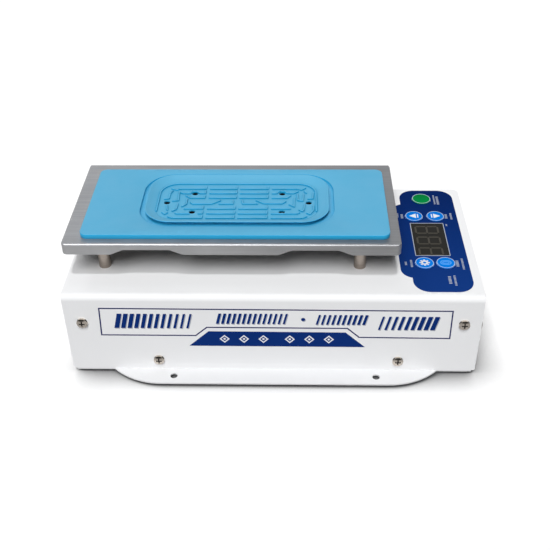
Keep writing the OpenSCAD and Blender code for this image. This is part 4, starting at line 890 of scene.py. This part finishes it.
@dataclass
class SuctionMat:
    """The silicone mat with its raised suction pad and the low ribs on its field."""

    moat_deep: float = 1.9 * MM
    field_in: float = 10.3 * MM
    field_drop: float = 2.9 * MM
    field_shift: Point2 = (-0.3 * MM, -0.7 * MM)
    pad_shift: Point2 = (0.2 * MM, 1.45 * MM)
    pad_size: Point2 = (137.9 * MM, 69.8 * MM)
    pad_r: float = 22 * MM
    lip_high: float = 1.96 * MM
    mat_r: float = 5.5 * MM
    edge_r: float = 0.35 * MM
    hole_r: float = 2.35 * MM
    hole_row: float = -3.2 * MM
    hole_pairs: Point2 = (32.8 * MM, 12.7 * MM)
    hole_ends: float = 52.5 * MM
    port_wall: float = 0.3 * MM
    port_sunk: float = 0.9 * MM
    rib_shift: Point2 = (-0.5 * MM, -0.7 * MM)
    rib_high: float = 0.95 * MM
    rib_wide: float = 0.95 * MM
    rib_sunk: float = 0.3 * MM
    rib_soft: float = 0.2 * MM
    rib_tick: float = 3.5
    smooth: float = 75.0

    def __post_init__(self) -> None:
        """Reads the mat's levels and centres from the frame."""
        low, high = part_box("silicone_mat")
        self.centre = middle_of("silicone_mat")
        self.size = (high.x - low.x, high.y - low.y)
        self.base = low.z
        self.lip_top = high.z
        self.mat_top = high.z - self.lip_high
        self.field_z = self.lip_top - self.field_drop
        self.pad = shifted(self.centre, self.pad_shift)
        self.field = shifted(self.pad, self.field_shift)

    def holes(self) -> Points:
        """Centres of the six suction holes."""
        row = self.pad[1] + self.hole_row
        across, along = self.hole_pairs
        pairs = [(self.pad[0] + sx * across, row + sy * along) for sx in (-1, 1) for sy in (-1, 1)]
        return pairs + [(self.pad[0] + sx * self.hole_ends, row) for sx in (-1, 1)]

    def pad_loop(self, inset: float, shift: Point2 = (0.0, 0.0)) -> Points:
        """Outline of the pad, drawn in by some distance."""
        return rounded_loop(shifted(self.pad, shift), *self.pad_size, self.pad_r, 16, inset)

    def mat_loop(self, inset: float) -> Points:
        """Outline of the mat, drawn in by some distance."""
        return rounded_loop(self.centre, *self.size, self.mat_r, 16, inset)

    def ribs(self) -> list[Points]:
        """Middle lines of the ribs that hold a screen off the field, in millimetres."""
        lines = []
        for v, left, right in RIB_ROWS:
            for start, end in ((left, -24.6), (-21.5, -1.2), (1.4, 22.4)):
                lines.append([(start, v), (end, v), (end + 0.2, v + self.rib_tick)])
            lines.append([(25.5, v), (right, v)])
        corner = arc((44.6, 9.8), 13.9, 90, 0, 10)
        lines.append([(-58.5, -15.0)] + [(-u, v) for u, v in reversed(corner)] + corner + [(58.5, -15.0)])
        return lines + RIB_LINES

    def add_ribs(self, shape: Shape) -> None:
        """Adds the ribs, with softened tops, to a mesh that is still empty.

        Args:
            shape: The mesh that takes them.
        """
        bm = shape.bm
        x, y = shifted(self.pad, self.rib_shift)
        low, high = self.field_z - self.rib_sunk, self.field_z + self.rib_high
        for line in self.ribs():
            shape.stroke([(x + u * MM, y + v * MM) for u, v in line], self.rib_wide, low, high)
        bm.normal_update()
        middle = (low + high) / 2
        tops = [e for e in bm.edges if all(v.co.z > middle for v in e.verts)]
        bmesh.ops.bevel(
            bm, geom=[e for e in tops if e.calc_face_angle(0.0) > 1.0], offset=self.rib_soft,
            offset_type="OFFSET", segments=2, profile=0.5, affect="EDGES", clamp_overlap=True, material=-1,
        )

    def add_field(self, shape: Shape) -> None:
        """Adds the pad's field: a flat floor with its holes, down to the mat's foot.

        Args:
            shape: The mesh that takes it.
        """
        bm = shape.bm
        loops = [rounded_loop(self.field, *self.pad_size, self.pad_r, 16, self.field_in)]
        loops += [circle(hole, self.hole_r, 36) for hole in self.holes()]
        edges = []
        for loop in loops:
            edges += shape.close([bm.verts.new((x, y, self.field_z)) for x, y in loop])
        made = bmesh.ops.triangle_fill(bm, edges=edges, use_beauty=True)["geom"]
        shape.raise_faces(only(made, Face), self.base - self.field_z)

    def sheet_loops(self) -> list[tuple[Points, float]]:
        """Loops of the mat's sheet and its lip, from the outer foot to the field."""
        up, top, r, moat = self.lip_top, self.mat_top, self.edge_r, self.mat_top - self.moat_deep
        loops = [(self.mat_loop(0.25 * MM), self.base), (self.mat_loop(0.05 * MM), self.base + 0.2 * MM)]
        bend = (0.0, 0.4, 0.8, 1.2, pi / 2)
        loops += [(self.mat_loop(r - r * cos(a)), top - r + r * sin(a)) for a in bend]
        # A level, then how far in from the pad's outline and over the level each loop lies, in millimetres.
        runs = (
            (top, ((-2.42, 0.0), (-2.25, -0.06), (-2.2, -0.2))),
            (moat, ((-2.08, 0.1), (-1.7, 0.0), (3.9, 0.0), (4.2, 0.15))),
            (top, ((4.2, 0.0), (3.9, 0.14), (1.9, 1.12), (1.6, 1.28), (1.5, 1.5))),
            (up, ((1.58, -0.16), (1.75, -0.03), (2.1, 0.0), (2.5, -0.08), (3.3, -0.5), (4.6, -1.15))),
            (up, ((6.8, -2.0), (8.8, -2.62))),
        )
        loops += [(self.pad_loop(d * MM), level + z * MM) for level, run in runs for d, z in run]
        tail = (
            (10.1, self.field_z + 0.02 * MM), (10.9, self.field_z - 0.5 * MM),
            (11.0, self.base + 0.2 * MM), (10.8, self.base),
        )
        return loops + [(self.pad_loop(d * MM, self.field_shift), z) for d, z in tail]

    def ports(self) -> None:
        """Dark sleeves that line the suction holes: painted shade for the dark inside of each hole."""
        shape = Shape()
        radius = self.hole_r - self.port_wall / 2 + 0.05 * MM
        for centre in self.holes():
            shape.ring(centre, radius, self.port_wall, self.base + 0.1 * MM, self.field_z - self.port_sunk, 32)
        shape.piece("suction_ports_painted_shade", "painted_port_shade", MAT)

    def build(self) -> None:
        """Makes the mat and its ports on their own body."""
        shape = Shape()
        self.add_ribs(shape)
        shape.loft(self.sheet_loops())
        self.add_field(shape)
        mat = shape.piece("suction_mat", "blue_silicone", MAT, self.smooth)
        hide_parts("silicone_mat")
        self.ports()


@dataclass
class FrontPrint:
    """The printed frame, band and plain marks on the case's front sheet."""

    ink: float = 0.06 * MM
    sink: float = 0.03 * MM
    line_w: float = 1.0 * MM
    shear: float = 0.24
    mark_half: float = 3.1 * MM
    mark_line: float = 0.9 * MM
    dot: Point2 = (22.2, 51.6)
    dot_r: float = 1.5 * MM

    def __post_init__(self) -> None:
        """Finds the front sheet."""
        front = Vector((0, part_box("top_cover")[0].y, 0))
        self.plane = Plane(front, Vector((1, 0, 0)), Vector((0, 0, 1)), Vector((0, -1, 0)))

    def draw(self, shape: Shape, name: str, colour: str) -> None:
        """Puts what was drawn in the front sheet's axes on that sheet, in one ink."""
        shape.place(self.plane)
        shape.piece(name, colour)

    def line_frame(self) -> None:
        """The thin line round the upper field, stepped over the band."""
        corners = [
            (-123.8, 60.9), (-124.8, 36.1), (-55.9, 36.0), (-47.4, 43.8),
            (54.2, 43.5), (62.9, 35.1), (128.4, 34.5), (128.2, 59.8),
        ]
        shape = Shape()
        shape.stroke(metres(corners), self.line_w, -self.sink, self.ink, closed=True)
        self.draw(shape, "front_line", "line")

    def band(self) -> None:
        """The filled band under the frame, with plain light marks along it."""
        shape = Shape()
        outline = [(-61.2, 26.1), (-46.4, 40.1), (53.0, 39.6), (67.5, 25.7)]
        shape.prism(metres(outline), -self.sink, self.ink)
        self.draw(shape, "front_band", "band")
        marks = Shape()
        half = self.mark_half
        for k in range(6):
            x = (-35.0 + 14.2 * k + (5.0 if k > 2 else 0.0)) * MM
            z = (33.0 - 0.02 * k) * MM
            diamond = [(x - half, z), (x, z - half), (x + half, z), (x, z + half)]
            marks.stroke(diamond, self.mark_line, 0.0, 2 * self.ink, closed=True)
            marks.disc((x, z), self.mark_line, 0.0, 2 * self.ink, 16)
        self.draw(marks, "band_marks", "white")

    def stripes(self) -> list[Points]:
        """Outlines of the plain slanted stripes that fill the upper field, in millimetres."""
        blocks = (
            (-114.7, -57.6, 42.8, 56.1, 12, 0.74, 0.34), (-40.7, 11.2, 47.2, 56.7, 14, 0.58, 0.42),
            (31.2, 68.2, 46.8, 55.9, 10, 0.42, 0.58), (76.0, 118.0, 42.2, 54.6, 9, 0.34, 0.74),
        )
        outlines = []
        for left, right, low, high, count, first, last in blocks:
            pitch = (right - left) / count
            lean = self.shear * (high - low)
            for k in range(count):
                wide = pitch * (first + (last - first) * k / (count - 1))
                x = left + pitch * k
                outlines.append([(x, low), (x + wide, low), (x + wide + lean, high), (x + lean, high)])
        return outlines

    def slanted_stripes(self) -> None:
        """Plain slanted stripes over a faint grey echo of each."""
        for name, colour, shift, high in (
            ("front_echo", "echo", (0.55, -0.75), self.ink / 2), ("front_stripes", "navy", (0.0, 0.0), self.ink),
        ):
            shape = Shape()
            for outline in self.stripes():
                shape.prism(metres(outline, shift), -self.sink, high)
            shape.disc(metres([self.dot], shift)[0], self.dot_r, -self.sink, high, 24)
            self.draw(shape, name, colour)

    def build(self) -> None:
        """Makes every print on the front."""
        self.line_frame()
        self.band()
        self.slanted_stripes()


@dataclass
class ControlPanel:
    """Prints on the control panel, the display's digits and the marks on its keys."""

    ink: float = 0.05 * MM
    line: float = 0.55 * MM
    ring_in: float = 0.35 * MM
    ring_line: float = 0.40 * MM
    digit_long: float = 18.6 * MM
    digit_wide: float = 10.6 * MM
    digit_pitch: float = 14.5 * MM
    digit_bar: float = 1.5 * MM
    digit_gap: float = 0.25 * MM
    digit_shift: Point2 = (-0.8 * MM, -1.9 * MM)
    tick_pitch: float = 1.55
    tick_wide: float = 0.85 * MM

    def __post_init__(self) -> None:
        """Finds the overlay and the window."""
        self.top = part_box("control_overlay")[1].z
        self.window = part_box("display_window")

    def window_frame(self) -> None:
        """The thin pale line round the display window."""
        low, high = self.window
        width, depth = high.x - low.x, high.y - low.y
        shape = Shape()
        loop = rounded_loop(middle_of("display_window"), width + self.line, depth + self.line, 0.4 * MM, 3)
        shape.stroke(loop, self.line, self.top - self.ink, self.top + self.ink, closed=True)
        shape.piece("window_line", "grey")

    def digits(self) -> None:
        """Three unlit digits of seven segments, their tops towards the left."""
        x_mid, y_mid = middle_of("display_window")
        low, high = self.window[1].z - self.ink, self.window[1].z + self.ink / 2
        shape = Shape()
        half, gap, bar = self.digit_long / 4, self.digit_gap, self.digit_bar / 2
        reach = self.digit_wide / 2 - bar
        for k in (-1, 0, 1):
            y0 = y_mid + self.digit_shift[1] + k * self.digit_pitch
            x0 = x_mid + self.digit_shift[0]
            for x in (-2 * half + bar, 0.0, 2 * half - bar):
                shape.prism(self.segment((x0 + x, y0), reach - gap, bar, False), low, high)
            for x in (-half + bar / 2, half - bar / 2):
                for s in (-1, 1):
                    outline = self.segment((x0 + x, y0 + s * reach), half - bar / 2 - gap, bar, True)
                    shape.prism(outline, low, high)
        shape.piece("display_digits", "segment")

    @staticmethod
    def segment(centre: Point2, half: float, bar: float, along_x: bool) -> Points:
        """Outline of one pointed segment.

        Args:
            centre: Its middle.
            half: Half of its length.
            bar: Half of its width.
            along_x: Whether it lies along x.

        Returns:
            The outline's points.
        """
        end = half - bar
        outline = [(-half, 0.0), (-end, -bar), (end, -bar), (half, 0.0), (end, bar), (-end, bar)]
        if not along_x:
            outline = [(-b, a) for a, b in outline]
        return [shifted(centre, point) for point in outline]

    def key_piece(self, shape: Shape, key: Key, what: str, colour: str) -> None:
        """Makes a key's drawn print a piece that rides on the key, in one ink."""
        shape.piece(f"{key.value}_{what}", colour, body=f"{key.value}_button")

    def key_prints(self, key: Key) -> None:
        """Prints a pale line round a key's edge and a triangle with a bar, a gear or an oval on it.

        Args:
            key: The key.
        """
        node = f"{key.value}_key"
        (left, _, _), (right, _, top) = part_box(node)
        x, y = middle_of(node)
        low, high = top - self.ink, top + self.ink
        shape = Shape()
        shape.ring((x, y), (right - left) / 2 - self.ring_in, self.ring_line, low, high)
        self.key_piece(shape, key, "ring", "edge")
        if key is Key.POWER:
            return
        shape = Shape()
        if key in (Key.LOWER, Key.RAISE):
            s = -1 if key is Key.LOWER else 1
            tip = (x + s * 3.9 * MM, y)
            foot = x - s * 1.5 * MM
            shape.prism([tip, (foot, y + 3.2 * MM), (foot, y - 3.2 * MM)], low, high)
            shape.prism(rounded_loop((x - s * 2.9 * MM, y), 0.9 * MM, 5.2 * MM, 0.2 * MM, 2), low, high)
        elif key is Key.SET:
            shape.ring((x, y), 2.0 * MM, 1.5 * MM, low, high, 24)
            for k in range(8):
                a = radians(45 * k)
                path = [(x + r * cos(a), y + r * sin(a)) for r in (2.4 * MM, 3.8 * MM)]
                shape.stroke(path, 1.3 * MM, low, high)
        else:
            outer = rounded_loop((x, y), 7.4 * MM, 4.6 * MM, 2.2 * MM, 8)
            inner = rounded_loop((x, y), 4.6 * MM, 2.0 * MM, 0.9 * MM, 6)
            shape.stroke(outer, 0.8 * MM, low, high, closed=True)
            shape.stroke(inner, 0.7 * MM, low, high, closed=True)
        self.key_piece(shape, key, "mark", "pale" if key is Key.PUMP else "white")

    def plain_ticks(self) -> None:
        """Plain short ticks beside the keys."""
        shape = Shape()
        columns = (
            (97.1, 32.2, 4, 1.5), (100.5, 30.8, 4, 1.9), (135.3, 30.8, 4, 1.9), (139.2, 31.0, 6, 1.6),
            (128.8, 55.7, 9, 1.3), (131.4, 54.6, 8, 1.9), (97.7, -32.8, 3, 1.6), (101.8, -32.8, 6, 1.6),
            (135.4, -32.7, 5, 2.2), (139.3, -33.2, 9, 1.6), (127.4, -52.8, 6, 2.2), (131.1, -53.4, 8, 1.6),
            (134.0, 18.4, 2, 1.2),
        )
        for x, y, count, tall in columns:
            for k in range(count):
                y0 = y + (k - (count - 1) / 2) * self.tick_pitch
                tick = rounded_loop((x * MM, y0 * MM), tall * MM, self.tick_wide, 0.2 * MM, 2)
                shape.prism(tick, self.top - self.ink, self.top + self.ink)
        shape.piece("panel_ticks", "grey")

    def build(self) -> None:
        """Makes every print of the panel."""
        self.window_frame()
        self.digits()
        self.plain_ticks()
        for key in Key:
            self.key_prints(key)


@dataclass
class ScrewRecesses:
    """Dark crosses sunk in the case screws' recesses: painted shade at the bottom of each cross."""

    node: str = "case_screws"
    cross_long: float = 4.3 * MM
    cross_wide: float = 0.94 * MM
    cross_deep: float = 1.2 * MM
    high: float = 0.98 * MM
    weld: float = 0.001 * MM

    def heads(self) -> list[Plane]:
        """Finds each screw's head: w points out of it, and the origin lies at its crown.

        Returns:
            One plane for each screw.
        """
        bm = bmesh.new()
        bm.from_mesh(frame["nodes"][self.node].data)
        bmesh.ops.remove_doubles(bm, verts=bm.verts[:], dist=self.weld)
        left = set(bm.verts)
        planes = []
        while left:
            island, queue = set(), [left.pop()]
            while queue:
                vert = queue.pop()
                island.add(vert)
                near = joined(vert, left)
                left.difference_update(near)
                queue += near
            planes.append(self.head_of(np.array([v.co[:] for v in island])))
        bm.free()
        return planes

    @staticmethod
    def head_of(points: np.ndarray) -> Plane:
        """Crown and axis of one screw.

        Args:
            points: The screw's vertices.

        Returns:
            A plane whose w points out of the head.
        """
        low, high = points.min(axis=0), points.max(axis=0)
        axis = int(np.argmax(high - low))
        others = [k for k in range(3) if k != axis]
        middle = (low + high) / 2
        reach = np.hypot(*(points[:, k] - middle[k] for k in others))
        widest = points[reach > reach.max() * 0.97, axis].mean()
        sign = 1.0 if widest > middle[axis] else -1.0
        origin = Vector(middle)
        origin[axis] = high[axis] if sign > 0 else low[axis]
        w = Vector([sign if k == axis else 0.0 for k in range(3)])
        u = Vector([1.0 if k == others[0] else 0.0 for k in range(3)])
        return Plane(origin, u, w.cross(u), w)

    def build(self) -> None:
        """Makes the painted dark crosses of every case screw as one piece."""
        whole = Shape()
        half, arm = self.cross_long / 2, self.cross_wide / 2
        outline, quarter = [], [(half, -arm), (half, arm), (arm, arm)]
        for _ in range(4):
            outline += quarter
            quarter = [(-y, x) for x, y in quarter]
        for plane in self.heads():
            before = set(whole.bm.verts)
            whole.prism(outline, -self.cross_deep, -self.cross_deep + self.high)
            fresh = [v for v in whole.bm.verts if v not in before]
            bmesh.ops.transform(whole.bm, matrix=plane.matrix(), verts=fresh)
        whole.piece("screw_recess_painted_shade", "painted_cross_shade")


def main() -> None:
    """Builds the studio and every sub-assembly."""
    logging.basicConfig(level=logging.INFO)
    Studio().build()
    dress_nodes()
    for part in (SuctionMat(), FrontPrint(), ControlPanel(), ScrewRecesses()):
        part.build()
        LOG.info("built %s", type(part).__name__)


if __name__ == "__main__":
    main()
